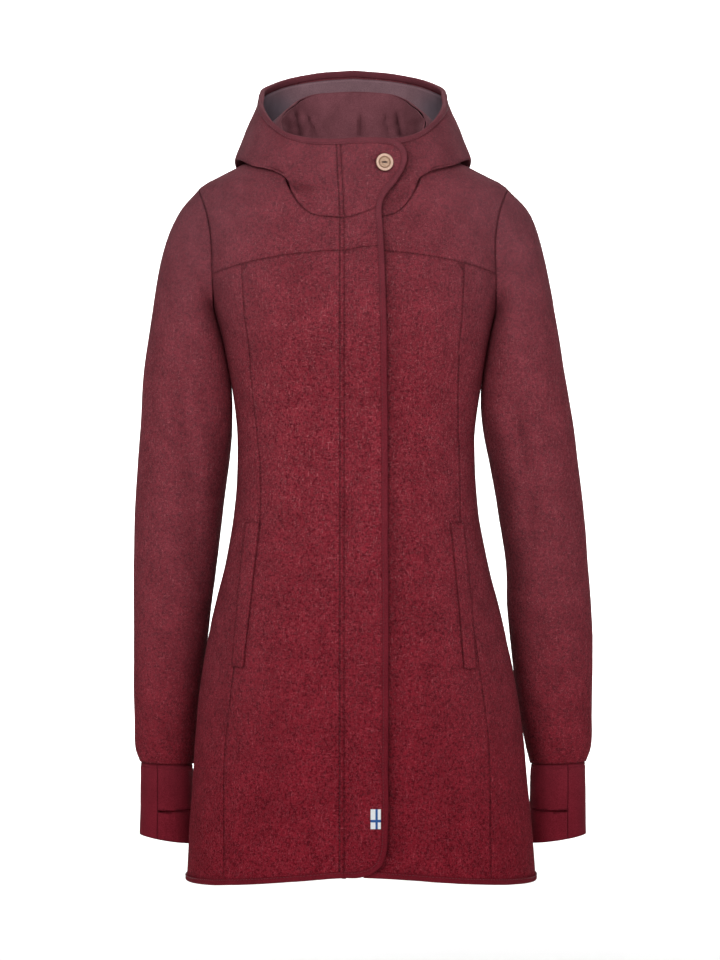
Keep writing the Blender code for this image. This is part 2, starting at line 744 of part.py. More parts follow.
def tape_run(name, place, finish, collection):
    """A binding: place(inwards, above) gives its stations' points at one corner of its section."""
    corners = [place(inwards, above) for inwards, above in tape_section(WOOL)]
    points = np.stack(corners + corners[:1], axis=1)
    bm = bmesh.new()
    bmesh.ops.create_grid(bm, x_segments=points.shape[1] - 1, y_segments=points.shape[0] - 1)
    for vert, point in zip(bm.verts, points.reshape(-1, 3)):
        vert.co = point * MM
    bmesh.ops.remove_doubles(bm, verts=bm.verts, dist=MERGE)
    bmesh.ops.holes_fill(bm, edges=[edge for edge in bm.edges if edge.is_boundary], sides=0)
    return place_object(name, bm, finish, collection)


def band_binding(name, finish, collection):
    curve = draw_outline()[0]

    def place(inwards, above):
        return band_surface(inset(curve, inwards), above)[0]

    return tape_run(name, place, finish, collection)


def hem_binding(name, finish, collection):
    edges = []
    for side in (-1, 1):
        seam = princess_seam(side)[-1, 0]
        start = on_front(front_opening(side), HEM_CENTRE)[0]
        edges.append(join(
            hem_edge(start, seam, CENTRE_COLUMNS), hem_edge(seam, side * pi / 2, SIDE_COLUMNS)
        )[:, 0])
    behind = np.linspace(3 * pi / 2, pi / 2, BACK_COLUMNS + 1)
    angle = np.concatenate([edges[0] % (2 * pi), behind[1:-1], edges[1][::-1]])
    angle[0] -= 0.004

    def place(inwards, above):
        height = hem(angle) + inwards
        return torso(angle, height) + above * torso_normal(angle, height)

    return tape_run(name, place, finish, collection)


def rim_along(angle, distance):
    """How far along a hood section the place lies that is this distance below the rim."""
    step = 0.04
    last = hood(angle, np.ones_like(angle)) - hood(angle, np.ones_like(angle) - step)
    return 1 - distance * step / np.linalg.norm(last, axis=-1)


def hood_opening(along, side):
    """Direction of the hood's front edge, at the band's seam or a little way under the band."""
    def across(angle):
        return hood(angle, along)[..., 0]

    if side > 0:
        return solve(across, UNDERLAP + 0 * along, -0.3, 0.3)
    height = hood(-0.1 + 0 * along, along)[..., 2]
    return solve(across, band_seam(height), -0.4, 0.1)


def hood_seam_angle():
    return pi - HOOD_CENTRE_COLUMNS / 2 * pi / BACK_COLUMNS


def hood_grid(side):
    """Directions and places along the section for one side of the hood, level with the body's."""
    along = np.array(HOOD_ALONG + (1.0, 1.0))
    start = hood_opening(along, side)[:, None]
    front_part = neckline_angles(side)
    share = (front_part - front_part[0]) / (front_part[-1] - front_part[0])
    columns = (BACK_COLUMNS - HOOD_CENTRE_COLUMNS) // 2
    behind = side * np.linspace(pi / 2, hood_seam_angle(), columns + 1)[1:] + 0 * start
    angle = np.concatenate([start + (side * pi / 2 - start) * share, behind], axis=1)
    along = along[:, None] + 0 * angle
    return angle, rim_rows(angle, along)


def rim_rows(angle, along):
    """The last two rows of a hood grid: just below the binding, and inside its fold."""
    along[-2] = rim_along(angle[-2], BINDING_WIDTH + 2)
    along[-1] = rim_along(angle[-1], BOUND_EDGE)
    return along


def hood_panel(name, angle, along, gaps, finish, collection):
    points = draw_in(hood(angle, along), gaps)
    return cloth_wall(name, points, hood_normal(angle, along), WOOL, finish, collection)


def hood_side(side, name, finish, collection):
    angle, along = hood_grid(side)
    return hood_panel(name, angle, along, (HALF_GAP, HOOD_GAP, HALF_GAP, 0), finish, collection)


def hood_middle_angles():
    return np.linspace(hood_seam_angle(), 2 * pi - hood_seam_angle(), HOOD_CENTRE_COLUMNS + 1)


def hood_middle(name, finish, collection):
    angle = hood_middle_angles()[None] + np.zeros((len(HOOD_ALONG) + 2, 1))
    along = np.array(HOOD_ALONG + (1.0, 1.0))[:, None] + 0 * angle
    along = rim_rows(angle, along)
    return hood_panel(name, angle, along, (HOOD_GAP, HOOD_GAP, HALF_GAP, 0), finish, collection)


def rim_binding(name, finish, collection):
    angle = rim_angles()

    def place(inwards, above):
        along = rim_along(angle, inwards)
        return hood(angle, along) + above * hood_normal(angle, along)

    return tape_run(name, place, finish, collection)


def under_wool(angle, along):
    """A point on the lining where it lies on the inside of the hood's wool."""
    return hood(angle, along) - LINING_EASE * hood_normal(angle, along)


def lining_top(angle):
    """How far along the hood section its lining ends, under the rim's binding."""
    return rim_along(angle, BINDING_WIDTH + 2)


def section_at(point):
    """Radius and height of a point in its hood section."""
    return np.hypot(point[..., 0] - HOOD_CENTRE, point[..., 1]), point[..., 2]


def ridge(angle):
    """Radius and height of the lining's fold, which stands inside the hood and meets the rim."""
    free = ease(46, 60, turned(angle))
    radius, height = section_at(under_wool(angle, lining_top(angle)))
    rise = RIDGE.read("ridge_z", turned(angle)) - height
    return radius + free * (RIDGE.read("ridge", turned(angle)) - radius), height + free * rise


def neck_lining_surface(angle, along):
    """The lining inside the neck, from the neck seam (0) to its fold or the rim (1)."""
    top, top_z = ridge(angle)
    radii, heights = hood_sections(angle)
    foot, foot_z = radii[0] - NECK_LINING_EASE, heights[0] + 1.5
    places = (0, 0.5, 1)
    radius = smooth(places, np.stack([foot, (foot + top) / 2 - 2, top]), along)
    height = smooth(places, np.stack([foot_z, (foot_z + top_z) / 2, top_z]), along)
    free = ease(30, 45, turned(angle))[..., None]
    lying = under_wool(angle, NECK_LINING_FOOT + (lining_top(angle) - NECK_LINING_FOOT) * along)
    return (1 - free) * lying + free * turn_section(angle, radius, height)


def hood_lining_surface(angle, along):
    """The lining of the pouch, from its fold (0) down inside and up to the rim (1)."""
    radii, heights = hood_sections(angle)
    top, top_z = ridge(angle)
    fold, fold_z = radii[2] - 13, heights[2] + 14 + 26 * ease(90, 150, turned(angle))
    side, side_z = section_at(under_wool(angle, 0.74 + 0 * angle))
    upper, upper_z = section_at(under_wool(angle, 0.87 + 0 * angle))
    rim, rim_z = section_at(under_wool(angle, lining_top(angle)))
    slope, slope_z = top + 0.45 * (fold - top), 0.6 * top_z + 0.4 * fold_z
    shoulder = top + 0.12 * (side - top)
    radius = np.stack([top + 0.6, shoulder, slope, fold, side, upper, rim])
    height = np.stack([top_z + 0.4, top_z - 3, slope_z, fold_z, side_z, upper_z, rim_z])
    return turn_section(
        angle, smooth(POUCH_PLACES, radius, along), smooth(POUCH_PLACES, height, along)
    )


def rim_angles():
    """Directions of the rim's places, from the right front round the back to the left front."""
    right = hood_grid(-1)[0][-1] % (2 * pi)
    left = hood_grid(1)[0][-1]
    return np.concatenate([right, hood_middle_angles()[::-1][1:-1], left[::-1]])


def lining(name, surface, angles, rows, finish, collection):
    angle, along = np.meshgrid(angles, rows)
    points = surface(angle, along)
    normals = outward(lambda a, b: surface(a, np.clip(b, 0, 1)), angle, along, 0.002, 0.004)
    return cloth_wall(name, points, normals, JERSEY, finish, collection)


def patch(name, corners, lift, wall, finish, collection, columns, rows):
    """A flat piece sewn on the front: corners are its left and right edges in (across, height)."""
    left, right = (np.asarray(edge, float) for edge in corners)
    part = np.linspace(0, 1, columns + 1)[None, :, None]
    row = np.linspace(0, len(left) - 1, rows + 1)
    left, right = (
        np.stack([smooth(np.arange(len(edge)), edge[:, axis], row) for axis in (0, 1)], -1)
        for edge in (left, right)
    )
    grid = left[:, None] * (1 - part) + right[:, None] * part
    points, normals = lift(grid)
    return cloth_wall(name, points, normals, wall, finish, collection)


def welt(name, rows, finish, collection):
    edges = [[(row[column], row[0]) for row in rows] for column in (1, 2)]

    def lift(grid):
        point, normal = front(grid[..., 0], grid[..., 1])
        return point + normal * (WELT_WALL + SEAM_GAP + 0.3), normal

    return patch(name, edges, lift, WELT_WALL, finish, collection, 2, 7)


def label(name, finish, collection):
    bottom = LABEL_TOP - LABEL_HEIGHT
    edges = [[(across, LABEL_TOP), (across, bottom)] for across in (LABEL_LEFT, LABEL_LEFT + LABEL_WIDTH)]
    return patch(
        name, edges, lambda grid: band_surface(grid, SEAM_GAP + LABEL_WALL), LABEL_WALL, finish,
        collection, 2, 2,
    )


def button(name, finish, collection, cutters):
    """A turned two-hole button, dished inside a raised rim, flat underneath."""
    profile = (
        (0, BUTTON_DISH), (BUTTON_DISH_RADIUS, BUTTON_DISH), (BUTTON_DISH_RADIUS + 0.7, BUTTON_RIM),
        (BUTTON_RADIUS - 0.8, BUTTON_RIM), (BUTTON_RADIUS, BUTTON_RIM - 0.8), (BUTTON_RADIUS, 0.8),
        (BUTTON_RADIUS - 0.8, 0), (0, 0),
    )
    bm = bmesh.new()
    verts = [bm.verts.new((radius * MM, 0, height * MM)) for radius, height in profile]
    edges = [bm.edges.new(pair) for pair in zip(verts, verts[1:])]
    bmesh.ops.spin(
        bm, geom=verts + edges, cent=(0, 0, 0), axis=(0, 0, 1), angle=2 * pi, steps=28, use_merge=True
    )
    bmesh.ops.remove_doubles(bm, verts=bm.verts, dist=MERGE)
    disc = place_object(name, bm, finish, collection)
    point, normal = band_surface(np.array([BUTTON_PLACE]))
    place = (point[0] + normal[0] * (SEAM_GAP + 0.5)) * MM
    turn = mathutils.Vector(normal[0]).to_track_quat("Z", "Y").to_matrix().to_4x4()
    disc.matrix_world = mathutils.Matrix.Translation(place) @ turn
    for side in (-1, 1):
        bm = bmesh.new()
        bmesh.ops.create_cone(
            bm, cap_ends=True, segments=10, radius1=BUTTON_HOLE_RADIUS * MM,
            radius2=BUTTON_HOLE_RADIUS * MM, depth=4 * BUTTON_RIM * MM,
        )
        cutter = place_object(f"{name}_hole_cutter_{side + 2}", bm, finish, cutters)
        across = mathutils.Vector((side * BUTTON_HOLE_SPACING / 2 * MM, 0, 0))
        cutter.matrix_world = disc.matrix_world @ mathutils.Matrix.Translation(across)
        cutter.hide_render = True
        cutter.display_type = "WIRE"
        cut = disc.modifiers.new("hole", "BOOLEAN")
        cut.object = cutter
    return disc


def main():
    for old in list(bpy.data.objects):
        bpy.data.objects.remove(old)
    coat = bpy.data.collections.new("hooded_coat")
    cutters = bpy.data.collections.new("cutters")
    for collection in (coat, cutters):
        bpy.context.scene.collection.children.link(collection)
    wool = material("melange wool fleece", WOOL_RED, 0.95)
    jersey = material("brushed lining jersey", LINING_RED, 0.9)
    tape = material("stretch binding", TAPE_RED, 0.8)
    rib = material("cuff jersey", CUFF_RED, 0.85)
    wood = material("pale wood", WOOD, 0.6)
    white = material("woven label", LABEL_WHITE, 0.8)

    for side, hand in ((-1, "right"), (1, "left")):
        front_centre(side, f"front_centre_{hand}", wool, coat)
        front_side(side, f"front_side_{hand}", wool, coat)
        front_yoke(side, f"front_yoke_{hand}", wool, coat)
        hood_side(side, f"hood_side_{hand}", wool, coat)
        rows = RIGHT_SLEEVE_ROWS if side < 0 else LEFT_SLEEVE_ROWS
        sleeve(f"sleeve_{hand}", rows, side, wool, coat)
        cuff(f"cuff_{hand}", rows, side, rib, coat, cutters)
        welt(f"welt_{hand}", RIGHT_WELT_ROWS if side < 0 else LEFT_WELT_ROWS, wool, coat)
    back("back", wool, coat)
    hood_middle("hood_centre", wool, coat)
    band_pieces(wool, coat)
    band_binding("band_binding", tape, coat)
    hem_binding("hem_binding", tape, coat)
    rim_binding("rim_binding", tape, coat)
    around = np.sort(rim_angles())
    pouch = around[np.abs(around - pi) < pi - radians(LINING_START)]
    lining("neck_lining", neck_lining_surface, around, NECK_LINING_ROWS, jersey, coat)
    lining("hood_lining", hood_lining_surface, pouch, POUCH_ROWS, jersey, coat)
    button("button", wood, coat, cutters)
    label("flag_label", white, coat)


main()
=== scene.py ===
"""The looks of a hooded A-line coat in melange boiled-wool fleece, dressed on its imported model.

The model's frame: the origin is the middle of the neck base, X runs to the wearer's left, Y from
front to back, Z up. Lengths below are millimetres, and MM turns them into metres. Right and left in
names are the wearer's.
"""

from math import cos, pi, radians, sin

import bmesh
import bpy
import mathutils
import numpy as np
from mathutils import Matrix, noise


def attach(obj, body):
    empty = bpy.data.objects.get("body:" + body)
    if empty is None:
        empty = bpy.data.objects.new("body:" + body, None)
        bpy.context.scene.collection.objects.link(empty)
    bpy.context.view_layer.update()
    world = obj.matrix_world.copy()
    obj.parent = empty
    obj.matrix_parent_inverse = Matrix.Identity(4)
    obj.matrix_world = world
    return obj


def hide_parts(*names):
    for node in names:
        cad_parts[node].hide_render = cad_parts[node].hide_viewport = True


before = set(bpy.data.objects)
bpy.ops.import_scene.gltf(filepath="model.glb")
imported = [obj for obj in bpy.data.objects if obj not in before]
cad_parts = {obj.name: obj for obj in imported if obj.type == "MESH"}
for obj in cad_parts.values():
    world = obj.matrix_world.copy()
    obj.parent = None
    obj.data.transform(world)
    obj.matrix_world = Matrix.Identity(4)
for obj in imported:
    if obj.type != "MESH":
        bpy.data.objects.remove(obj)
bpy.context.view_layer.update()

MM = 0.001
FINE = 3

# Cloth and sewing
WOOL = 2.8
JERSEY = 1.3
TAPE = 1.0
SEAM_GAP = 0.3
ARMHOLE_GAP = 0.6
HOOD_GAP = 0.3
BINDING_WIDTH = 7.5
TAPE_EASE = 0.7
TAPE_FOLD = 2.2
TAPE_FOLD_STEPS = 5
TAPE_BEVEL = (0.5, 0.35)
TAPE_CUT_WIDTH = 2 * BINDING_WIDTH + WOOL + 4
BOUND_EDGE = TAPE + TAPE_EASE
BAND_RISE = 6.8
MERGE = 1e-6
SOLVE_STEPS = 20

# The body of the coat, ring by ring from the neck to below the hem
TORSO_COLUMNS = ("height", "centre", "half_width", "front", "back", "squareness")
TORSO_ROWS = (
    (14, -3.5, 60, 50, 58, 2.0),
    (6, -3.5, 77, 62, 70, 2.0),
    (-5, -3.5, 99, 74, 80, 2.1),
    (-20, -3.5, 129, 84, 90, 2.2),
    (-36, -3.5, 160, 91, 97, 2.4),
    (-46, -3.5, 179, 94, 101, 2.5),
    (-53, -3.5, 187, 96, 103, 2.5),
    (-62, -3.5, 190, 98, 105, 2.5),
    (-84, -3.5, 192, 102, 109, 2.5),
    (-120, -3, 188, 110, 114, 2.5),
    (-155, -2, 180, 118, 116, 2.5),
    (-195, -1, 169, 124, 114, 2.4),
    (-240, 0, 158, 121, 108, 2.3),
    (-285, 0.5, 150, 113, 101, 2.2),
    (-345, 0.5, 142.5, 105, 96, 2.15),
    (-381, 0.5, 142.5, 104, 97, 2.15),
    (-435, 0.5, 146.5, 110, 106, 2.15),
    (-500, 1, 158, 121, 119, 2.15),
    (-580, 1.5, 177.5, 133, 134, 2.2),
    (-660, 3, 191, 142, 146, 2.2),
    (-760, 5, 201, 150, 156, 2.2),
    (-890, 6.5, 210, 159, 166, 2.2),
)

# Seams of the body
NECKLINE_COLUMNS = ("angle", "height")
NECKLINE_ROWS = (
    (0, -92), (16, -91), (26, -87), (33, -75), (38, -60), (44, -38), (51, -20),
    (65, -6), (80, 1), (92, 4), (130, 8), (180, 9),
)
ARMHOLE_MIDDLE = -122
ARMHOLE_HALF_HEIGHT = 73
ARMHOLE_FRONT = radians(20.5)
ARMHOLE_BACK = radians(24)
ARMHOLE_ROUNDNESS = 0.8
YOKE_AT_ARMHOLE = radians(117)
YOKE_CENTRE = -131
YOKE_CURVE = 2.2
PRINCESS_COLUMNS = ("height", "right", "left")
PRINCESS_ROWS = (
    (-145, -134, 127), (-188, -132, 126), (-246, -127, 123), (-316, -120, 121), (-375, -114, 123),
    (-458, -114, 125), (-530, -128, 133), (-587, -139, 141), (-656, -148, 151), (-716, -153, 156),
    (-772, -154, 157), (-890, -155, 158),
)
HEIGHT_AT_NECK = -92
HEM_CENTRE = -858
HEM_DROP = 19
HEM_CURVE = 1.6

# The overlapping front band: its seam, and the bound outline of its free edge
BAND_SEAM = -13.5
BAND_SEAM_AT_RIM = -18
BAND_RISE_WIDTH = 20
UNDERLAP = 9
# Columns: across, height, and steps to the next row
OUTLINE_ROWS = (
    (-18, 1.3, 3), (14, 1, 1), (36, 0.4, 2), (48, -3.5, 2), (56.5, -11, 2), (60, -22, 2),
    (56.5, -36, 2), (46, -50, 2), (36.5, -61, 2), (31.3, -73, 1), (30.3, -80, 2), (31.4, -104, 1),
    (33, -127, 2), (34.6, -180, 3), (35.6, -270, 4), (36.5, -376, 4), (37.2, -500, 4),
    (37.4, -620, 3), (37.4, -720, 3), (37.3, -808, 2), (35.6, -828, 2), (30.5, -842, 3),
    (20, -852, 2), (5, -857.5, 3), (-13.5, -858.5, 0),
)
TAB_CORNER_ROW = 4
BAND_NECK_ROW = 10
BAND_YOKE_ROW = 12
HEM_CORNER_ROW = 21
BAND_NECK_CURVE = 1.5

# Hood, lying back as a pouch: sections turned round the neck, from front (0) to back (180)
HOOD_CENTRE = -3.5
HOOD_COLUMNS = ("angle", "under", "under_z", "fold", "fold_z", "side", "side_z", "rim", "rim_z")
HOOD_ROWS = (
    (0, 102, -70, 101.5, -46, 100.5, -22, 98, 1.3),
    (20, 104, -70, 105, -47, 104, -22, 101, 1.6),
    (30, 108, -67, 109, -47, 107.5, -22, 104, 3),
    (38, 119, -53, 119, -43, 115, -20, 106, 6),
    (45, 119, -36, 127, -36, 120, -12, 107, 10),
    (60, 119, -16, 135, -28, 125.5, -2, 107.5, 24),
    (75, 116, -4, 137, -19, 125, 9, 109.5, 41),
    (90, 113, 0, 141, -15, 127, 17, 110, 53),
    (110, 112, 0, 147.5, -26, 139.5, 20, 117.5, 67),
    (135, 104, -6, 153.5, -58, 163, 14, 147.5, 87),
    (150, 100, -12, 154, -78, 175, 8, 157, 100),
    (165, 97, -13, 149, -92, 177, 4, 154, 108),
    (180, 97, -14, 147, -97, 178, 3, 150, 111),
)
HOOD_STOPS = ("under", "fold", "side", "rim")
HOOD_PLACES = (0, 0.25, 0.5, 0.75, 1)
# Past the front, the hood's foot stands this far inside and above the neck seam (from and to degrees)
HOOD_LIFTS = (26, 50)
HOOD_LIFT = (1.2, 1.6)
# The patch of collar seen from the front: where it lies, and the directions that reach it
COLLAR_ACROSS = (-32, 72)
COLLAR_HEIGHTS = (-97, 7)
COLLAR_ANGLES = (-0.6, 0.72)
LINING_EASE = 4.8
NECK_LINING_EASE = 4.4
NECK_LINING_FOOT = 0.05
NECK_LINING_RISE = 1.5
NECK_LINING_HOLLOW = 2
# How far below the rim's binding the cloth turns in and the lining ends
RIM_MARGIN = 2
# Degrees from the front over which the lining's fold, and the lining below it, leave the wool
RIDGE_FREE = (46, 60)
NECK_LINING_FREE = (30, 45)
# Bottom of the pouch: how far in from the hood's fold, how far up, and how much more at the back
POUCH_IN = 13
POUCH_UP = 14
POUCH_UP_BEHIND = 26
POUCH_BEHIND = (90, 150)
LINING_START = 57
POUCH_PLACES = (0, 0.1, 0.34, 0.56, 0.74, 0.87, 1)
RIDGE_COLUMNS = ("angle", "ridge", "ridge_z")
RIDGE_ROWS = (
    (55, 99, 10), (65, 95, 23), (75, 87, 33), (90, 79, 43), (113, 75, 54), (125, 77, 61),
    (142, 75, 69), (160, 69, 72), (180, 65, 73),
)

# Sleeves, section by section from the armhole down, as seen from the front
# Columns: row, outer edge and its height, inner edge and its height, middle in Y, half depth in Y
RIGHT_SLEEVE_ROWS = (
    (1, -213, -80, -166.8, -206, 4, 62),
    (2, -233, -132, -159.9, -228, 5, 65),
    (3, -245, -200, -152.6, -262, 8, 66),
    (4, -254, -260, -148.2, -295, 12, 64),
    (5, -259, -320, -148.5, -335, 16, 62),
    (6, -263, -378, -152.5, -380, 21, 59),
    (7, -267, -440, -160, -440, 28, 56),
    (8, -269, -500, -168, -500, 36, 53),
    (9, -270, -560, -176, -560, 44, 51),
    (10, -270, -620, -183, -620, 52, 49),
    (11, -270, -680, -190, -680, 59, 47),
    (12, -269, -722, -194, -724, 62, 44),
    (13, -263, -741, -197, -744, 63, 38),
)
LEFT_SLEEVE_ROWS = (
    (1, 209.5, -80, 165.2, -206, 4, 62),
    (2, 227.5, -135, 159.4, -228, 5, 65),
    (3, 239.5, -200, 153.4, -262, 8, 66),
    (4, 250, -262, 150, -295, 12, 64),
    (5, 261, -325, 152, -335, 16, 62),
    (6, 269, -385, 161, -380, 21, 59),
    (7, 276, -445, 172, -440, 28, 56),
    (8, 282, -510, 181, -500, 36, 53),
    (9, 286, -565, 184, -560, 44, 51),
    (10, 288, -620, 190, -620, 54, 49),
    (11, 288, -680, 199, -680, 63, 47),
    (12, 287, -720, 207, -724, 68, 44),
    (13, 281, -741, 212, -744, 69, 38),
)
SLEEVE_RINGS = 21
CUFF_LENGTH = 88
CUFF_WALL = 2.2
CUFF_INSET = 1.5
CUFF_DROP = 0.6
THUMB_SLIT = (51, 1.9)
THUMB_SLIT_AT = (16.5, 58.5)
# The row of topstitching: how far down it runs, how far it pinches the cuff in, and how narrowly
CUFF_TOPSTITCH = (4.2, 0.8, 0.9)
CUFF_FLARE = 3
CUFF_LEAN = 1.5
CUFF_SLANT = 4
# How far the seam draws the cuff in, how far down that reaches, and the share that isn't drawn in
CUFF_PULL = (1.1, 2.4, 0.35)
CUFF_TOP_RINGS = 15
CUFF_RINGS = 34

# Pockets, label and button. Columns of a welt: height, inner edge and outer edge
RIGHT_WELT_ROWS = ((-449, -112, -129), (-535, -121, -137.5), (-618, -129.5, -145))
LEFT_WELT_ROWS = ((-450, 110.5, 126), (-535, 118.5, 134), (-620, 125.5, 141))
WELT_WALL = 2.4
WELT_RISE = 3.0
WELT_STEPS = (10, 60)
LABEL_STEPS = (8, 14)
LABEL_LEFT = 17
LABEL_WIDTH = 11.5
LABEL_TOP = -779
LABEL_HEIGHT = 22.7
LABEL_WALL = 0.8
BUTTON_PLACE = (32.0, -28.3)
BUTTON_RADIUS = 10.4
# Turned section, from the middle of the face round to the middle of the back: radius and height
BUTTON_PROFILE = (
    (0, 2.5), (5.7, 2.45), (5.95, 1.95), (6.7, 1.95), (7.1, 3.2), (7.6, 3.6), (9.4, 3.6),
    (10.1, 3.3), (BUTTON_RADIUS, 2.7), (BUTTON_RADIUS, 1.0), (10.0, 0.4), (9.2, 0.1), (0, 0),
)
BUTTON_STEPS = 72
BUTTON_RISE = 0.8
BUTTON_HOLE_RADIUS = 0.9
BUTTON_HOLE_SPACING = 4.6
BUTTON_HOLE_DEPTH = 14.4
BUTTON_THREAD_RADIUS = 0.5
BUTTON_THREAD_APART = 0.45
BUTTON_THREAD_RISE = 2.95
BUTTON_THREAD_REACH = 2.346
BUTTON_THREAD_SINK = 1.6
BUTTON_THREAD_BEND = 0.72

# Stitches: their length, the gap between them, and how each rises out of the cloth along its length
STITCH = 3.0
STITCH_GAP = 1.0
STITCH_RISE = (-0.25, 0.2, 0.25, 0.2, -0.25)
STITCH_INSET = 0.2
STITCH_SINK = 0.15
THREAD_RADIUS = 0.27
THREAD_POINT = 0.35
BAND_STITCH = -5.0
# Seam allowance: half its width, and how deep its two faces lie under the cloth's face
ALLOWANCE = (2.2, -1.1, -1.9)
SIDE_SEAM_TOP = -215

# Shade that the finishes show, in mm unless a line says otherwise. Seams: how far away they count
SEAM_REACH = 30.0
# Painted shadow beside the band's free edge: how far it reaches
LAP_SHADOW_REACH = 8.0
# Painted shadow round the button: where it starts, how far it reaches and its strength
BUTTON_SHADOW_START = -0.4
BUTTON_SHADOW = (2.4, 7.5)
# Painted shade on the side of a sleeve that hangs against the body: its strength, how far that side
# has to turn toward the body (a share), and the heights over which it comes in
SLEEVE_SHADE = 4.6
SLEEVE_SHADE_TURN = (0.2, 0.85)
SLEEVE_SHADE_TOP = (-400, -270)
# The lining's folds end between these distances from the hood's middle
LINING_FOLDS_END = (84, 104)

# Angles in degrees past which an edge stays sharp
CLOTH_SHARP = 50
TAPE_SHARP = 60
BUTTON_SHARP = 35
# The least share of its rectangle that a cut piece is stated to fill
LEAST_CUT_SHARE = 0.31

# Steps over which a surface's slope is measured: in radians, in mm, and along a section
TURN_STEP = 0.002
HEIGHT_STEP = 0.4
ALONG_STEP = 0.004


def unit(vectors):
    return vectors / np.linalg.norm(vectors, axis=-1, keepdims=True)


def lengths(points):
    """Length along a line of points, from its first one."""
    return np.r_[0, np.cumsum(np.linalg.norm(np.diff(points, axis=0), axis=-1))]


def pair(first, second):
    """Two coordinates for each point of a grid or a line, the first shared where it is one number."""
    return np.stack(np.broadcast_arrays(first, second), -1)


def smooth(at, values, where):
    """A cubic curve through values, one value or one array of them for each place in at."""
    at = np.asarray(at, float)
    where = np.asarray(where, float)
    values = np.asarray(values, float)
    if values.ndim > 1:
        values = np.broadcast_to(values, (len(at),) + where.shape)
    slopes = np.gradient(values, at, axis=0)
    before = np.clip(np.searchsorted(at, where) - 1, 0, len(at) - 2)
    span = at[before + 1] - at[before]
    part = np.clip((where - at[before]) / span, 0, 1)

    def pick(table, step):
        if table.ndim == 1:
            return table[before + step]
        return np.take_along_axis(table, (before + step)[None], axis=0)[0]

    start = (2 * part**3 - 3 * part**2 + 1) * pick(values, 0)
    end = (3 * part**2 - 2 * part**3) * pick(values, 1)
    leave = (part**3 - 2 * part**2 + part) * span * pick(slopes, 0)
    reach = (part**3 - part**2) * span * pick(slopes, 1)
    return start + end + leave + reach


def ease(start, end, where):
    """0 before start, 1 after end, and a soft step between them."""
    part = np.clip((where - start) / (end - start), 0, 1)
    return part * part * (3 - 2 * part)


class Table:
    """Named columns read as smooth curves along the first one."""

    def __init__(self, columns, rows):
        rows = np.array(sorted(rows), float)
        self.at = rows[:, 0]
        self.columns = dict(zip(columns[1:], rows[:, 1:].T))

    def read(self, name, where):
        return smooth(self.at, self.columns[name], where)


TORSO = Table(TORSO_COLUMNS, TORSO_ROWS)
NECKLINE = Table(NECKLINE_COLUMNS, NECKLINE_ROWS)
PRINCESS = Table(PRINCESS_COLUMNS, PRINCESS_ROWS)
HOOD = Table(HOOD_COLUMNS, HOOD_ROWS)
RIDGE = Table(RIDGE_COLUMNS, RIDGE_ROWS)


def turned(angle):
    """The same direction as an angle from 0 (front) to 180 degrees (back), for either side."""
    return np.degrees(np.abs((np.asarray(angle) + pi) % (2 * pi) - pi))


def torso(angle, height):
    """A point on the outside of the body, by its direction from the middle and its height."""
    side, ahead = np.sin(angle), np.cos(angle)
    depth = np.where(ahead > 0, TORSO.read("front", height), TORSO.read("back", height))
    power = TORSO.read("squareness", height)
    width = TORSO.read("half_width", height)
    radius = ((abs(side) / width) ** power + (abs(ahead) / depth) ** power) ** (-1 / power)
    centre = TORSO.read("centre", height)
    return np.stack([centre + radius * side, -radius * ahead, height + 0 * radius], -1)


def outward(surface, first, second, first_step, second_step):
    """Unit normals of surface(first, second), pointing out of the cloth."""
    across = surface(first + first_step, second) - surface(first - first_step, second)
    along = surface(first, second + second_step) - surface(first, second - second_step)
    return unit(np.cross(across, along))


def torso_normal(angle, height):
    return outward(torso, angle, height, TURN_STEP, HEIGHT_STEP)


def solve(function, target, low, high):
    """Where a rising function meets its target, by halving."""
    low = np.full(np.shape(target), float(low))
    high = np.full(np.shape(target), float(high))
    for _ in range(SOLVE_STEPS):
        middle = (low + high) / 2
        above = function(middle) > target
        high = np.where(above, middle, high)
        low = np.where(above, low, middle)
    return (low + high) / 2


def front_angle(across, height):
    """The direction of the point on the front of the body that lies this far across."""
    return solve(lambda angle: torso(angle, height)[..., 0], across, -pi / 2, pi / 2)


def neckline(angle):
    return NECKLINE.read("height", turned(angle))


def hood_sections(angle):
    """Radius and height of the five places that each hood section passes through."""
    way = turned(angle)
    seam = torso(angle, neckline(angle))
    radius = np.hypot(seam[..., 0] - HOOD_CENTRE, seam[..., 1])
    lift = ease(*HOOD_LIFTS, way)
    inward, upward = HOOD_LIFT
    radii = [radius - inward * lift] + [HOOD.read(name, way) for name in HOOD_STOPS]
    heights = [seam[..., 2] + SEAM_GAP + upward * lift]
    heights += [HOOD.read(name + "_z", way) for name in HOOD_STOPS]
    return np.stack(radii), np.stack(heights)


def turn_section(angle, radius, height):
    return np.stack([HOOD_CENTRE + radius * np.sin(angle), -radius * np.cos(angle), height], -1)


def hood(angle, along):
    """A point on the outside of the hood, from the neck seam (0) to the rim (1)."""
    radii, heights = hood_sections(angle)
    along = np.clip(along, 0, 1)
    radius, height = (smooth(HOOD_PLACES, values, along) for values in (radii, heights))
    return turn_section(angle, radius, height)


def hood_normal(angle, along):
    return outward(hood, angle, along, TURN_STEP, ALONG_STEP)


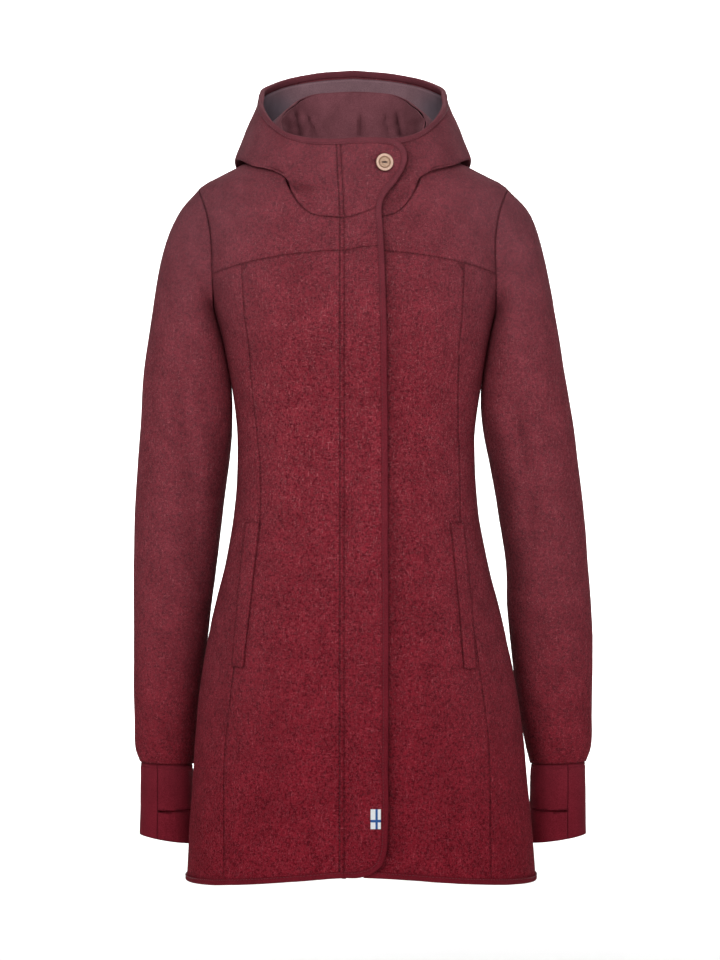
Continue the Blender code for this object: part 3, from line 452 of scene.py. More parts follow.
class CollarMap:
    """Direction and place along the hood's sections of each place on the collar, seen from the front."""

    def __init__(self):
        self.across = np.linspace(*COLLAR_ACROSS, 105)
        self.height = np.linspace(*COLLAR_HEIGHTS, 105)
        angle = np.linspace(*COLLAR_ANGLES, 120)
        along = np.linspace(0, 1, 80)
        sections = hood(angle[:, None] + 0 * along, along + 0 * angle[:, None])
        place = np.array([np.interp(self.height, section[:, 2], along) for section in sections])
        across = hood(angle[:, None] + 0 * place, place)[..., 0]
        self.angle = np.array([np.interp(self.across, row, angle) for row in across.T])
        self.along = np.array([
            np.interp(angles, angle, places) for angles, places in zip(self.angle, place.T)
        ])

    def find(self, across, height):
        column = np.clip(across - self.across[0], 0, len(self.across) - 1.001)
        row = np.clip(height - self.height[0], 0, len(self.height) - 1.001)
        left, low = column.astype(int), row.astype(int)
        column, row = column - left, row - low
        return [
            (table[low, left] * (1 - column) + table[low, left + 1] * column) * (1 - row)
            + (table[low + 1, left] * (1 - column) + table[low + 1, left + 1] * column) * row
            for table in (self.angle, self.along)
        ]


COLLAR = CollarMap()


def front(across, height):
    """Point and normal on the front, on the collar above the neck seam and the body below it."""
    across, height = np.broadcast_arrays(np.asarray(across, float), np.asarray(height, float))
    angle = front_angle(across, height)
    point, normal = torso(angle, height), torso_normal(angle, height)
    near = height > HEIGHT_AT_NECK - 1
    if near.any():
        angle, along = COLLAR.find(across[near], height[near])
        on_collar = (height[near] > neckline(angle) + SEAM_GAP)[:, None]
        point[near] = np.where(on_collar, hood(angle, along), point[near])
        normal[near] = np.where(on_collar, hood_normal(angle, along), normal[near])
    return point, normal


def coons(left, right, top, bottom):
    """Fill the patch between four edges, given top to bottom and left to right."""
    left, right, top, bottom = (np.asarray(edge, float) for edge in (left, right, top, bottom))
    down = np.linspace(0, 1, len(left))[:, None, None]
    over = np.linspace(0, 1, len(top))[None, :, None]
    ruled = (1 - over) * left[:, None] + over * right[:, None]
    hung = (1 - down) * top[None] + down * bottom[None]
    corners = (1 - down) * ((1 - over) * top[0] + over * top[-1])
    corners = corners + down * ((1 - over) * bottom[0] + over * bottom[-1])
    return ruled + hung - corners


def draw_in(points, edge_gaps):
    """Draw the edges of a patch in by these distances: left, right, top, bottom."""
    drawn = points.copy()
    left, right, top, bottom = edge_gaps
    for gap, edge, inside in (
        (left, np.s_[:, 0], np.s_[:, 1]),
        (right, np.s_[:, -1], np.s_[:, -2]),
        (top, np.s_[0], np.s_[1]),
        (bottom, np.s_[-1], np.s_[-2]),
    ):
        drawn[edge] += gap * unit(points[inside] - points[edge])
    return drawn


# Soft folds of the cloth, seen from the front. Each runs from one place (across, height) to
# another, and has a width and a depth.
FOLDS = {
    "sleeve_right": (
        (-214, -262, -196, -420, 13, 3.6),
        (-196, -420, -188, -520, 12, 3.0),
        (-240, -330, -214, -372, 9, 1.6),
        (-172, -300, -190, -330, 8, 1.5),
        (-246, -470, -214, -500, 10, 1.8),
        (-186, -560, -214, -596, 10, 1.6),
        (-252, -640, -222, -664, 9, 1.4),
        (-205, -700, -236, -718, 8, 1.3),
        (-200, -120, -206, -190, 12, 1.6),
    ),
    "sleeve_left": (
        (192, -300, 206, -400, 13, 3.6),
        (206, -400, 214, -500, 12, 3.0),
        (258, -356, 226, -388, 9, 1.6),
        (176, -318, 200, -348, 8, 1.5),
        (264, -486, 230, -512, 10, 1.8),
        (202, -566, 232, -600, 10, 1.6),
        (272, -646, 240, -668, 9, 1.4),
        (222, -704, 250, -722, 8, 1.3),
        (190, -126, 198, -196, 12, 1.6),
    ),
    "body": (
        (-150, -215, -112, -262, 14, 2.0),
        (146, -215, 112, -258, 14, 2.0),
        (-128, -330, -70, -352, 11, 1.3),
        (126, -336, 74, -356, 11, 1.3),
        (-120, -372, -64, -384, 12, 1.2),
        (118, -378, 66, -392, 12, 1.2),
        (-96, -640, -108, -840, 22, 2.4),
        (-56, -700, -60, -850, 20, 1.6),
        (96, -660, 112, -845, 22, 2.4),
        (62, -690, 70, -850, 20, 1.6),
        (150, -520, 168, -700, 16, 1.8),
        (-146, -520, -166, -700, 16, 1.8),
    ),
    "hood": (
        (-100, -30, -66, -62, 7, 1.8),
        (-76, -52, -45, -61, 5, 4.4),
        (70, -49, 38, -78, 5, 2.6),
        (-52, -14, -50, -46, 6, 1.2),
        (100, -30, 70, -58, 7, 1.8),
        (-118, -8, -88, -44, 8, 1.4),
        (118, -8, 90, -42, 8, 1.4),
    ),
    "lining": (
        (-71, 46, -62, 14, 4.2, 6.5),
        (-58, 46, -42, 20, 3.4, 3.4),
        (-20, 60, -26, 34, 6, 1.6),
        (6, 50, 7, 14, 3.4, 4.0),
        (45, 48, 51, 14, 4.2, 6.5),
        (34, 52, 28, 26, 4, 2.4),
        (-92, 30, -74, 22, 5, 1.8),
        (86, 32, 68, 24, 5, 1.8),
    ),
}
# Along a fold: where its ends begin to run out, and how softly
FOLD_ENDS = (0.45, 0.22)
# The roll beside a fold: its height as a share of the depth, how many widths out, and its spread
FOLD_ROLL = (0.45, 1.7, 0.5)
# How quickly a fold comes in as the cloth turns to face the front
FOLD_FACING = 2.5
UNEVEN = ((62, 0.9), (24, 0.3))


def fold_depth(points, group):
    """How far the cloth dips at each point: a groove along each fold, with a soft roll beside it."""
    depth = np.zeros(points.shape[:-1])
    place = points[..., [0, 2]]
    ends, softness = FOLD_ENDS
    roll, out, spread = FOLD_ROLL
    for across, height, to_across, to_height, width, deep in FOLDS.get(group, ()):
        start, end = np.array([across, height]), np.array([to_across, to_height])
        run = end - start
        part = ((place - start) @ run) / (run @ run)
        away = np.linalg.norm(place - start - part[..., None] * run, axis=-1) / width
        taper = np.exp(-np.clip(np.abs(part - 0.5) * 2 - ends, 0, None) ** 2 / softness)
        depth += deep * taper * (np.exp(-away**2) - roll * np.exp(-((away - out) ** 2) / spread))
    return depth


def unevenness(points):
    """The small waves of cloth that hangs."""
    flat = points.reshape(-1, 3)
    rise = np.zeros(len(flat))
    for size, height in UNEVEN:
        rise += [height * noise.noise(mathutils.Vector(point / size)) for point in flat]
    return rise.reshape(points.shape[:-1])


def dips(points, normals, group):
    """How far each point sinks into a fold, on the face that the folds are seen on."""
    facing = np.clip(-normals[..., 1] * FOLD_FACING, -1 if group == "lining" else 0, 1)
    if group == "lining":
        away = np.hypot(points[..., 0] - HOOD_CENTRE, points[..., 1])
        facing = facing * (1 - ease(*LINING_FOLDS_END, away))
    return fold_depth(points, group) * facing


def relax(points, normals, group):
    """Lay the folds and the small unevenness of real cloth over a smooth form."""
    return points + (unevenness(points) - dips(points, normals, group))[..., None] * normals


def run_along(points, axis):
    """Length along a grid from its first row or column."""
    steps = np.linalg.norm(np.diff(points, axis=axis), axis=-1)
    start = np.zeros_like(steps[:1] if axis == 0 else steps[:, :1])
    return np.concatenate([start, np.cumsum(steps, axis=axis)], axis=axis)


def seam_distance(points, seams):
    """How far each point lies from the nearest sewn edge: left, right, top or bottom."""
    across, down = run_along(points, 1), run_along(points, 0)
    far = np.full(across.shape, SEAM_REACH)
    for letter, distance in (
        ("L", across), ("R", across[:, -1:] - across), ("T", down), ("B", down[-1:] - down)
    ):
        if letter in seams:
            far = np.minimum(far, distance)
    return far


finishes = {}


def put(name, bm, finish=None):
    """Link a mesh into the scene as an object, with its finish."""
    mesh = bpy.data.meshes.new(name)
    bm.to_mesh(mesh)
    bm.free()
    if finish is not None:
        mesh.materials.append(finishes[finish])
    mesh.shade_smooth()
    piece = bpy.data.objects.new(name, mesh)
    bpy.context.scene.collection.objects.link(piece)
    return piece


def dress(name, bm, finish, smooth_angle):
    """Turn a finished mesh into the piece that stands for its node."""
    piece = put(name + "_cloth", bm, finish)
    piece.data.set_sharp_from_angle(angle=radians(smooth_angle))
    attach(piece, "root")
    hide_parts(name)
    return piece


def trim(name, bm, finish):
    """Sewing thread or seam allowance, which stands for no node."""
    piece = put(name, bm, finish)
    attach(piece, "root")


def lay_grid(bm, points, **layers):
    """Add a grid of points, with the values that each layer gives them: numbers, or triples."""
    kept = []
    for name, values in layers.items():
        kinds = bm.verts.layers.float_vector if values.ndim == 3 else bm.verts.layers.float
        flat = values.reshape(-1, 3) if values.ndim == 3 else values.ravel()
        kept.append((kinds.new(name), flat))
    rows, columns = points.shape[:2]
    verts = bmesh.ops.create_grid(bm, x_segments=columns - 1, y_segments=rows - 1)["verts"]
    for vert, point in zip(verts, points.reshape(-1, 3)):
        vert.co = point * MM
    for layer, flat in kept:
        for vert, value in zip(verts, flat):
            vert[layer] = value


def close(bm):
    """Join the edges of a grid that is wrapped into a tube, and fill the tube's ends."""
    bmesh.ops.remove_doubles(bm, verts=bm.verts, dist=MERGE)
    bmesh.ops.holes_fill(bm, edges=[edge for edge in bm.edges if edge.is_boundary], sides=0)
    bmesh.ops.recalc_face_normals(bm, faces=bm.faces)


def band_marks(name, points):
    """How far each point lies beside the band's seam, and how much painted shadow the band's free edge
    casts on it.
    """
    beside, under = np.zeros(points.shape[:-1]), np.zeros(points.shape[:-1])
    if name in ("front_centre_right", "front_yoke_right", "hood_side_right"):
        beside = points[..., 0] - band_seam(points[..., 2])
    if name in ("front_centre_left", "front_yoke_left", "hood_side_left"):
        # Painted shadow that the band's free edge casts on the front beside it
        edge = draw_outline()[0]
        away = np.linalg.norm(points[..., None, [0, 2]] - edge, axis=-1).min(-1)
        under = np.exp(-away / LAP_SHADOW_REACH) * (points[..., 1] < 0)
    return beside, under


def shades(name, points, normals, group):
    """How deep the painted shade lies at each point: in folds, round the button, on a sleeve's inner
    side.
    """
    depth = np.abs(dips(points, normals, group))
    # Painted shadow round the button
    if name == "band_collar":
        reach, strength = BUTTON_SHADOW
        away = np.linalg.norm(points[..., [0, 2]] - BUTTON_PLACE, axis=-1) - BUTTON_RADIUS
        depth = np.maximum(depth, strength * (1 - ease(BUTTON_SHADOW_START, reach, away)))
    # Painted shade on the side of a sleeve that hangs against the body
    if group.startswith("sleeve"):
        inward = -np.sign(points[..., 0]) * normals[..., 0]
        below = 1 - ease(*SLEEVE_SHADE_TOP, points[..., 2])
        depth = np.maximum(depth, SLEEVE_SHADE * ease(*SLEEVE_SHADE_TURN, inward) * below)
    return depth


def cloth(name, points, normals, wall, finish, seams="", ring=False, group=""):
    """A cut piece of cloth: a grid laid on its outer face, relaxed, then given its thickness inwards."""
    # Depth of painted shade at each point, which the finish reads
    folded = shades(name, points, normals, group)
    points = relax(points, normals, group)
    across, down = run_along(points, 1), run_along(points, 0)
    stitched, lapped = band_marks(name, points)
    bm = bmesh.new()
    lay_grid(
        bm, points, step=-normals * wall * MM, seam=seam_distance(points, seams),
        weave=np.stack([across, down, 0 * down], -1) * MM,
        stitched=stitched, lapped=lapped, folded=folded,
    )
    step = bm.verts.layers.float_vector["step"]
    if ring:
        bmesh.ops.remove_doubles(bm, verts=bm.verts, dist=MERGE)
    made = bmesh.ops.extrude_face_region(bm, geom=bm.faces[:])
    for vert in made["geom"]:
        if isinstance(vert, bmesh.types.BMVert):
            vert.co += vert[step]
    bmesh.ops.recalc_face_normals(bm, faces=bm.faces)
    piece = dress(name, bm, finish, CLOTH_SHARP)
    corners = points[:-1, :-1], points[1:, 1:], points[:-1, 1:], points[1:, :-1]
    halves = np.cross(corners[1] - corners[0], corners[3] - corners[2]) / 2
    width, length = across[:, -1].max() * MM, down[-1].max() * MM
    cut = width * length
    area = np.linalg.norm(halves, axis=-1).sum() * MM * MM
    area = min(max(area, LEAST_CUT_SHARE * cut), cut)
    print(f"sheet {name}: {width:.3f} x {length:.3f} m, {area:.4f} m2")
    return piece


def cut_away(piece, shapes):
    """Cut closed shapes out of a piece for good."""
    cutters = [put("cutter", bm) for bm in shapes]
    for cutter in cutters:
        piece.modifiers.new("cut", "BOOLEAN").object = cutter
    bpy.context.view_layer.update()
    left = bpy.data.meshes.new_from_object(piece.evaluated_get(bpy.context.evaluated_depsgraph_get()))
    piece.modifiers.clear()
    piece.data = left
    for cutter in cutters:
        bpy.data.objects.remove(cutter)


# How finely each piece is cut
BODY_ROWS = 24 * FINE
SHOULDER_STEPS = 3 * FINE
ARMHOLE_STEPS = 6 * FINE
UNDERARM_STEPS = 4 * FINE
CENTRE_COLUMNS = 5 * FINE
SIDE_COLUMNS = 6 * FINE
YOKE_CORNER_COLUMNS = 2 * FINE
BACK_COLUMNS = 14 * FINE
HOOD_CENTRE_COLUMNS = 4 * FINE
# The last two lines of the hood are moved to the rim's binding
HOOD_LINES = np.append(np.linspace(0, 0.87, 8 * FINE), (1.0, 1.0))
NECK_LINING_ROWS = np.linspace(0, 1, 7 * FINE)
POUCH_ROWS = np.linspace(0, 1, 14 * FINE)


def hem(angle):
    """Height of the hem, which falls from the middle of the front to the sides and stays there."""
    sideways = np.where(np.cos(angle) > 0, np.abs(np.sin(angle)), 1)
    return HEM_CENTRE - HEM_DROP * sideways**HEM_CURVE


def armhole(around, side, face):
    """Armhole seam from the shoulder (0) to the underarm (pi), on the front (1) or back (-1) face."""
    swing = (ARMHOLE_FRONT if face > 0 else ARMHOLE_BACK) * np.sin(around) ** ARMHOLE_ROUNDNESS
    height = ARMHOLE_MIDDLE + ARMHOLE_HALF_HEIGHT * np.cos(around)
    return np.stack([side * (pi / 2 - face * swing), height], -1)


def arc(start, end, steps):
    return np.linspace(start, end, steps + 1)


def on_front(across, height):
    across, height = np.broadcast_arrays(np.asarray(across, float), np.asarray(height, float))
    return pair(front_angle(across, height), height)


def side_line(side, heights):
    """Down the side of the body, under the arm."""
    return pair(side * pi / 2, heights)


def yoke_height(across, side):
    corner = armhole(np.array(YOKE_AT_ARMHOLE), side, 1)
    reach = torso(*corner)[0]
    return YOKE_CENTRE + (corner[1] - YOKE_CENTRE) * abs(across / reach) ** YOKE_CURVE


def princess_across(height, side):
    return PRINCESS.read("right" if side < 0 else "left", height)


def princess_top(side):
    across = princess_across(YOKE_CENTRE, side)
    return across, yoke_height(across, side)


def princess_seam(side):
    top = princess_top(side)[1]
    foot = on_front(princess_across(HEM_CENTRE, side), HEM_CENTRE)
    height = arc(top, hem(foot[0]), BODY_ROWS)
    return on_front(princess_across(height, side), height)


def front_opening(side):
    """Where each front ends at the middle: at the band's seam, or a little way under the band."""
    return BAND_SEAM if side < 0 else UNDERLAP


def hem_edge(start, end, columns):
    angle = arc(start, end, columns)
    return pair(angle, hem(angle))


def yoke_centre_seam(side):
    across = arc(front_opening(side), princess_top(side)[0], CENTRE_COLUMNS)
    return on_front(across, yoke_height(across, side))


def yoke_corner_seam(side):
    corner = armhole(np.array(YOKE_AT_ARMHOLE), side, 1)
    across = arc(princess_top(side)[0], torso(*corner)[0], YOKE_CORNER_COLUMNS)
    seam = on_front(across, yoke_height(across, side))
    seam[-1] = corner
    return seam


def body_panel(name, grid, gaps, seams):
    points = draw_in(torso(grid[..., 0], grid[..., 1]), gaps)
    normals = torso_normal(grid[..., 0], grid[..., 1])
    cloth(name, points, normals, WOOL, "wool_fleece", seams, group="body")


def join(*edges):
    """One edge out of several that follow each other."""
    return np.concatenate([edges[0]] + [edge[1:] for edge in edges[1:]])


HALF_GAP = SEAM_GAP / 2
HEMMED = (HALF_GAP, HALF_GAP, HALF_GAP, BOUND_EDGE)


def front_centre(side, hand):
    top = yoke_centre_seam(side)
    outer = princess_seam(side)
    bottom = hem_edge(on_front(front_opening(side), HEM_CENTRE)[0], outer[-1, 0], CENTRE_COLUMNS)
    inner = on_front(front_opening(side), arc(top[0, 1], bottom[0, 1], BODY_ROWS))
    grid = coons(inner, outer, top, bottom)
    body_panel(f"front_centre_{hand}", grid, HEMMED, "LRT")


def front_side(side, hand):
    inner = princess_seam(side)
    around = arc(YOKE_AT_ARMHOLE, pi, UNDERARM_STEPS)
    top = join(yoke_corner_seam(side), armhole(around, side, 1))
    bottom = hem_edge(inner[-1, 0], side * pi / 2, SIDE_COLUMNS)
    outer = side_line(side, arc(top[-1, 1], bottom[-1, 1], BODY_ROWS))
    grid = coons(inner, outer, top, bottom)
    body_panel(f"front_side_{hand}", grid, HEMMED, "LRT")


def shoulder_seam(side):
    return side_line(side, arc(neckline(pi / 2), ARMHOLE_MIDDLE + ARMHOLE_HALF_HEIGHT, SHOULDER_STEPS))


def neckline_angles(side):
    """Directions of evenly spaced places on the neckline, from the front opening to the shoulder."""
    start = solve(lambda angle: torso(angle, neckline(angle))[..., 0], front_opening(side), -1, 1)
    angle = np.linspace(start, side * pi / 2, 90)
    run = lengths(torso(angle, neckline(angle)))
    return np.interp(arc(0, run[-1], CENTRE_COLUMNS + YOKE_CORNER_COLUMNS), run, angle)


def front_yoke(side, hand):
    bottom = join(yoke_centre_seam(side), yoke_corner_seam(side))
    outer = join(shoulder_seam(side), armhole(arc(0, YOKE_AT_ARMHOLE, ARMHOLE_STEPS), side, 1))
    angle = neckline_angles(side)
    top = pair(angle, neckline(angle))
    inner = on_front(front_opening(side), np.linspace(top[0, 1], bottom[0, 1], len(outer)))
    grid = coons(inner, outer, top, bottom)
    body_panel(f"front_yoke_{hand}", grid, (HALF_GAP,) * 4, "LRTB")


def back():
    edges = []
    for side in (1, -1):
        hang = armhole(arc(0, pi, ARMHOLE_STEPS), side, -1)
        seam = side_line(side, arc(hang[-1, 1], hem(pi), BODY_ROWS))
        edge = join(shoulder_seam(side), hang, seam)
        edge[:, 0] %= 2 * pi
        edges.append(edge)
    angle = arc(pi / 2, 3 * pi / 2, BACK_COLUMNS)
    grid = coons(*edges, pair(angle, neckline(angle)), pair(angle, hem(pi)))
    body_panel("back", grid, HEMMED, "LRT")


def sleeve_turns():
    """Places round a sleeve, level with those along the armhole, from the shoulder down the front."""
    front_edge = join(arc(0, YOKE_AT_ARMHOLE, ARMHOLE_STEPS), arc(YOKE_AT_ARMHOLE, pi, UNDERARM_STEPS))
    return join(front_edge, arc(pi, 2 * pi, ARMHOLE_STEPS))


def sleeve_rings(rows, side):
    """Rings of points round a sleeve: the armhole seam, then one for each row of the table."""
    around = sleeve_turns()
    seam = [
        armhole(np.array(turn if turn <= pi else 2 * pi - turn), side, 1 if turn <= pi else -1)
        for turn in around
    ]
    rings = [torso(*np.array(seam).T)]
    for _, outer, outer_z, inner, inner_z, middle_y, half_depth in rows:
        swing = np.cos(around)
        across = (outer + inner) / 2 + swing * (outer - inner) / 2
        height = (outer_z + inner_z) / 2 + swing * (outer_z - inner_z) / 2
        rings.append(np.stack([across, middle_y - half_depth * np.sin(around), height], -1))
    return np.stack(rings)


def ring_normals(points):
    """Normals of rings of points, pointing away from the middle of each ring."""
    along = np.gradient(points, axis=0)
    around = np.roll(points[:, :-1], -1, axis=1) - np.roll(points[:, :-1], 1, axis=1)
    around = np.concatenate([around, around[:, :1]], axis=1)
    normal = unit(np.cross(around, along))
    middle = points[:, :-1].mean(axis=1, keepdims=True)
    return normal * np.sign((normal * (points - middle)).sum(-1, keepdims=True).mean())


def sleeve(rows, side, hand):
    rings = sleeve_rings(rows, side)
    where = np.linspace(0, len(rows), SLEEVE_RINGS * FINE)[:, None] + np.zeros(len(sleeve_turns()))
    places = np.arange(len(rows) + 1)
    points = np.stack([smooth(places, rings[:, None, :, axis], where) for axis in range(3)], -1)
    drawn, normals = draw_in(points, (0, 0, ARMHOLE_GAP, 0)), ring_normals(points)
    name = f"sleeve_{hand}"
    cloth(name, drawn, normals, WOOL, "wool_fleece", "TB", ring=True, group=name)


def cuff(rows, side, hand):
    """A jersey cuff, drawn in by its seam and a row of topstitching, with a slit for the thumb."""
    _, outer, outer_z, inner, inner_z, middle_y, half_depth = rows[-1]
    middle, middle_z = (outer + inner) / 2, (outer_z + inner_z) / 2
    swing = np.cos(sleeve_turns())
    half = abs(outer - inner) / 2 - CUFF_INSET
    stitched, pinch, narrow = CUFF_TOPSTITCH
    pull, reach, slack = CUFF_PULL
    rings = (0, stitched + 4, CUFF_TOP_RINGS), (stitched + 4, CUFF_LENGTH, CUFF_RINGS)
    run = join(*(np.linspace(*span) for span in rings))[:, None]
    part = run / CUFF_LENGTH
    pull = pull * (np.exp(-((run / reach) ** 2)) - slack)
    pull += pinch * np.exp(-(((run - stitched) / narrow) ** 2))
    flare = CUFF_FLARE * part * (1 + swing) / 2
    across = middle + side * (swing * (half - pull) - CUFF_LEAN * part + flare)
    drop = part * (CUFF_LENGTH + CUFF_SLANT * (1 - swing)) + CUFF_DROP
    height = middle_z + swing * (outer_z - inner_z) / 2 - drop
    ahead = middle_y - (half_depth - CUFF_INSET - pull) * np.sin(sleeve_turns())
    points = np.stack([across, ahead, height], -1)
    name, rests_on = f"cuff_{hand}", (f"sleeve_{hand}",)
    normals = ring_normals(points)
    piece = cloth(
        name, points, normals, CUFF_WALL, "cuff_jersey", "TB", ring=True
    )
    length, opening = THUMB_SLIT
    across, below = THUMB_SLIT_AT
    slit = mathutils.Vector((middle - side * across, middle_y - half_depth - 2, outer_z - below))
    bm = bmesh.new()
    bmesh.ops.create_cube(bm, size=1)
    bmesh.ops.scale(bm, vec=(length * MM, length * MM, opening * MM), verts=bm.verts)
    bmesh.ops.translate(bm, vec=slit * MM, verts=bm.verts)
    cut_away(piece, [bm])


def draw_outline():
    """The bound outline of the band, sampled along its curve, and where each table row falls in it."""
    rows = np.array(OUTLINE_ROWS, float)
    steps = FINE * rows[:-1, 2].astype(int)
    runs = lengths(rows[:, :2])
    where = np.concatenate(
        [np.linspace(a, b, n, endpoint=False) for a, b, n in zip(runs, runs[1:], steps)]
        + [runs[-1:]]
    )
    curve = np.stack([smooth(runs, rows[:, axis], where) for axis in (0, 1)], -1)
    return curve, np.r_[0, np.cumsum(steps)]


def inset(curve, distance):
    """Points of the outline moved into the band, square to its edge."""
    way = unit(np.gradient(curve, axis=0))
    return curve + distance * np.stack([way[:, 1], -way[:, 0]], -1)


def band_seam(height):
    """Where the band's seam lies across, which leans a little up the collar."""
    up = np.clip((height - HEIGHT_AT_NECK) / -HEIGHT_AT_NECK, 0, 1)
    return BAND_SEAM + (BAND_SEAM_AT_RIM - BAND_SEAM) * up


def band_rise(across, height):
    """How far the band stands over the cloth under it, rising from its seam."""
    seam = band_seam(height)
    return BAND_RISE * ease(seam, seam + BAND_RISE_WIDTH, across)


def band_surface(places, above=0):
    """Point and normal of the band's outer face, or a layer above it, at (across, height)."""
    point, normal = front(places[..., 0], places[..., 1])
    rise = band_rise(places[..., 0], places[..., 1]) + above
    return point + normal * rise[..., None], normal


def band_cross_seam(start, end, columns, curve):
    """A seam across the band between two places."""
    part = arc(0, 1, columns)
    across = start[0] + (end[0] - start[0]) * part
    return pair(across, start[1] + (end[1] - start[1]) * part**curve)


def band_pieces():
    curve, row = draw_outline()
    edge = inset(curve, BOUND_EDGE)
    columns = row[TAB_CORNER_ROW]
    collar_top = edge[: columns + 1]
    collar_side = edge[columns : row[BAND_NECK_ROW] + 1]
    yoke_side = edge[row[BAND_NECK_ROW] : row[BAND_YOKE_ROW] + 1]
    lower_side = edge[row[BAND_YOKE_ROW] : row[HEM_CORNER_ROW] + 1]
    foot = edge[row[HEM_CORNER_ROW] :][::-1]
    neck_start = (BAND_SEAM, HEIGHT_AT_NECK)
    neck = band_cross_seam(neck_start, collar_side[-1], columns, BAND_NECK_CURVE)
    yoke_start = (BAND_SEAM, float(yoke_height(BAND_SEAM, -1)))
    yoke = band_cross_seam(yoke_start, yoke_side[-1], columns, 1)
    pieces = (
        ("band_collar", collar_top, collar_side, neck, (HALF_GAP, 0, 0, HALF_GAP), "LB"),
        ("band_yoke", neck, yoke_side, yoke, (HALF_GAP, 0, HALF_GAP, HALF_GAP), "LTB"),
        ("band_front", yoke, lower_side, foot, (HALF_GAP, 0, HALF_GAP, 0), "LT"),
    )
    for name, top, side, bottom, gaps, seams in pieces:
        height = np.linspace(top[0, 1], bottom[0, 1], len(side))
        seam = pair(band_seam(height), height)
        points, normals = band_surface(coons(seam, side, top, bottom))
        cloth(name, draw_in(points, gaps), normals, WOOL, "wool_fleece", seams, group="body")


def tape_section():
    """The folded tape in section: distance in from the bound edge, and height above the cloth."""
    top = TAPE_EASE + TAPE
    under = -WOOL - top
    turn = np.linspace(0, pi / 2, TAPE_FOLD_STEPS)
    over = [(TAPE_FOLD * (1 - sin(a)), top - TAPE_FOLD * (1 - cos(a))) for a in turn]
    below = [(inwards, under - (height - top)) for inwards, height in over[::-1]]
    bevel, drop = TAPE_BEVEL
    return (
        [(BINDING_WIDTH, top - drop), (BINDING_WIDTH - bevel, top)]
        + over
        + below
        + [(BINDING_WIDTH - bevel, under), (BINDING_WIDTH, under + drop)]
        + [(BINDING_WIDTH, under + TAPE), (TAPE, under + TAPE), (TAPE, top - TAPE)]
        + [(BINDING_WIDTH, top - TAPE)]
    )


def tape_run(name, place, group=""):
    """A binding: place(inwards, above) gives its stations' points at one corner of its section."""
    section = tape_section()
    points = np.stack([place(inwards, above) for inwards, above in section], axis=1)
    middle = points.mean(axis=1, keepdims=True)
    points = points + relax(middle, unit((points - middle)[:, 1:2]), group) - middle
    points = np.concatenate([points, points[:, :1]], axis=1)
    length = run_along(points[:, 1:2], 0)
    flat = np.zeros(points.shape[:2])
    weave = np.stack([flat + length, flat + lengths(section + section[:1]), flat], -1) * MM
    bm = bmesh.new()
    lay_grid(bm, points, seam=flat + SEAM_REACH, weave=weave)
    close(bm)
    piece = dress(name, bm, "binding", TAPE_SHARP)
    width, length = TAPE_CUT_WIDTH * MM, float(length.max()) * MM
    print(f"sheet {name}: {width:.3f} x {length:.3f} m")
    return points[:, :-1]


def band_binding():
    curve = draw_outline()[0]

    def place(inwards, above):
        return band_surface(inset(curve, inwards), above)[0]

    return tape_run("band_binding", place, "body")


def hem_binding():
    edges = []
    for side in (-1, 1):
        seam = princess_seam(side)[-1, 0]
        start = on_front(front_opening(side), HEM_CENTRE)[0]
        edges.append(join(
            hem_edge(start, seam, CENTRE_COLUMNS), hem_edge(seam, side * pi / 2, SIDE_COLUMNS)
        )[:, 0])
    behind = np.linspace(3 * pi / 2, pi / 2, BACK_COLUMNS + 1)
    angle = np.concatenate([edges[0] % (2 * pi), behind[1:-1], edges[1][::-1]])
    angle[0] -= TURN_STEP * 2

    def place(inwards, above):
        height = hem(angle) + inwards
        return torso(angle, height) + above * torso_normal(angle, height)

    return tape_run("hem_binding", place, "body")


def rim_along(angle, distance):
    """How far along a hood section the place lies that is this distance below the rim."""
    step = 0.04
    last = hood(angle, np.ones_like(angle)) - hood(angle, np.ones_like(angle) - step)
    return 1 - distance * step / np.linalg.norm(last, axis=-1)


def hood_opening(along, side):
    """Direction of the hood's front edge, at the band's seam or a little way under the band."""
    def across(angle):
        return hood(angle, along)[..., 0]

    if side > 0:
        return solve(across, UNDERLAP + 0 * along, -0.3, 0.3)
    height = hood(-0.1 + 0 * along, along)[..., 2]
    return solve(across, band_seam(height), -0.4, 0.1)


def hood_seam_angle():
    return pi - HOOD_CENTRE_COLUMNS / 2 * pi / BACK_COLUMNS


def hood_grid(side):
    """Directions and places along the section for one side of the hood, level with the body's."""
    along = HOOD_LINES
    start = hood_opening(along, side)[:, None]
    front_part = neckline_angles(side)
    share = (front_part - front_part[0]) / (front_part[-1] - front_part[0])
    columns = (BACK_COLUMNS - HOOD_CENTRE_COLUMNS) // 2
    behind = side * np.linspace(pi / 2, hood_seam_angle(), columns + 1)[1:] + 0 * start
    angle = np.concatenate([start + (side * pi / 2 - start) * share, behind], axis=1)
    along = along[:, None] + 0 * angle
    return angle, rim_rows(angle, along)


def rim_rows(angle, along):
    """The last two rows of a hood grid: just below the binding, and inside its fold."""
    along[-2] = rim_along(angle[-2], BINDING_WIDTH + RIM_MARGIN)
    along[-1] = rim_along(angle[-1], BOUND_EDGE)
    return along


def hood_panel(name, angle, along, gaps):
    points, normals = draw_in(hood(angle, along), gaps), hood_normal(angle, along)
    cloth(name, points, normals, WOOL, "wool_fleece", "LRT", group="hood")


def hood_side(side, hand):
    angle, along = hood_grid(side)
    hood_panel(f"hood_side_{hand}", angle, along, (HALF_GAP, HOOD_GAP, HALF_GAP, 0))


def hood_middle_angles():
    return arc(hood_seam_angle(), 2 * pi - hood_seam_angle(), HOOD_CENTRE_COLUMNS)


def hood_middle():
    angle = hood_middle_angles() + np.zeros((len(HOOD_LINES), 1))
    along = rim_rows(angle, HOOD_LINES[:, None] + 0 * angle)
    hood_panel("hood_centre", angle, along, (HOOD_GAP, HOOD_GAP, HALF_GAP, 0))


def rim_binding():
    angle = rim_angles()

    def place(inwards, above):
        along = rim_along(angle, inwards)
        return hood(angle, along) + above * hood_normal(angle, along)

    return tape_run("rim_binding", place)


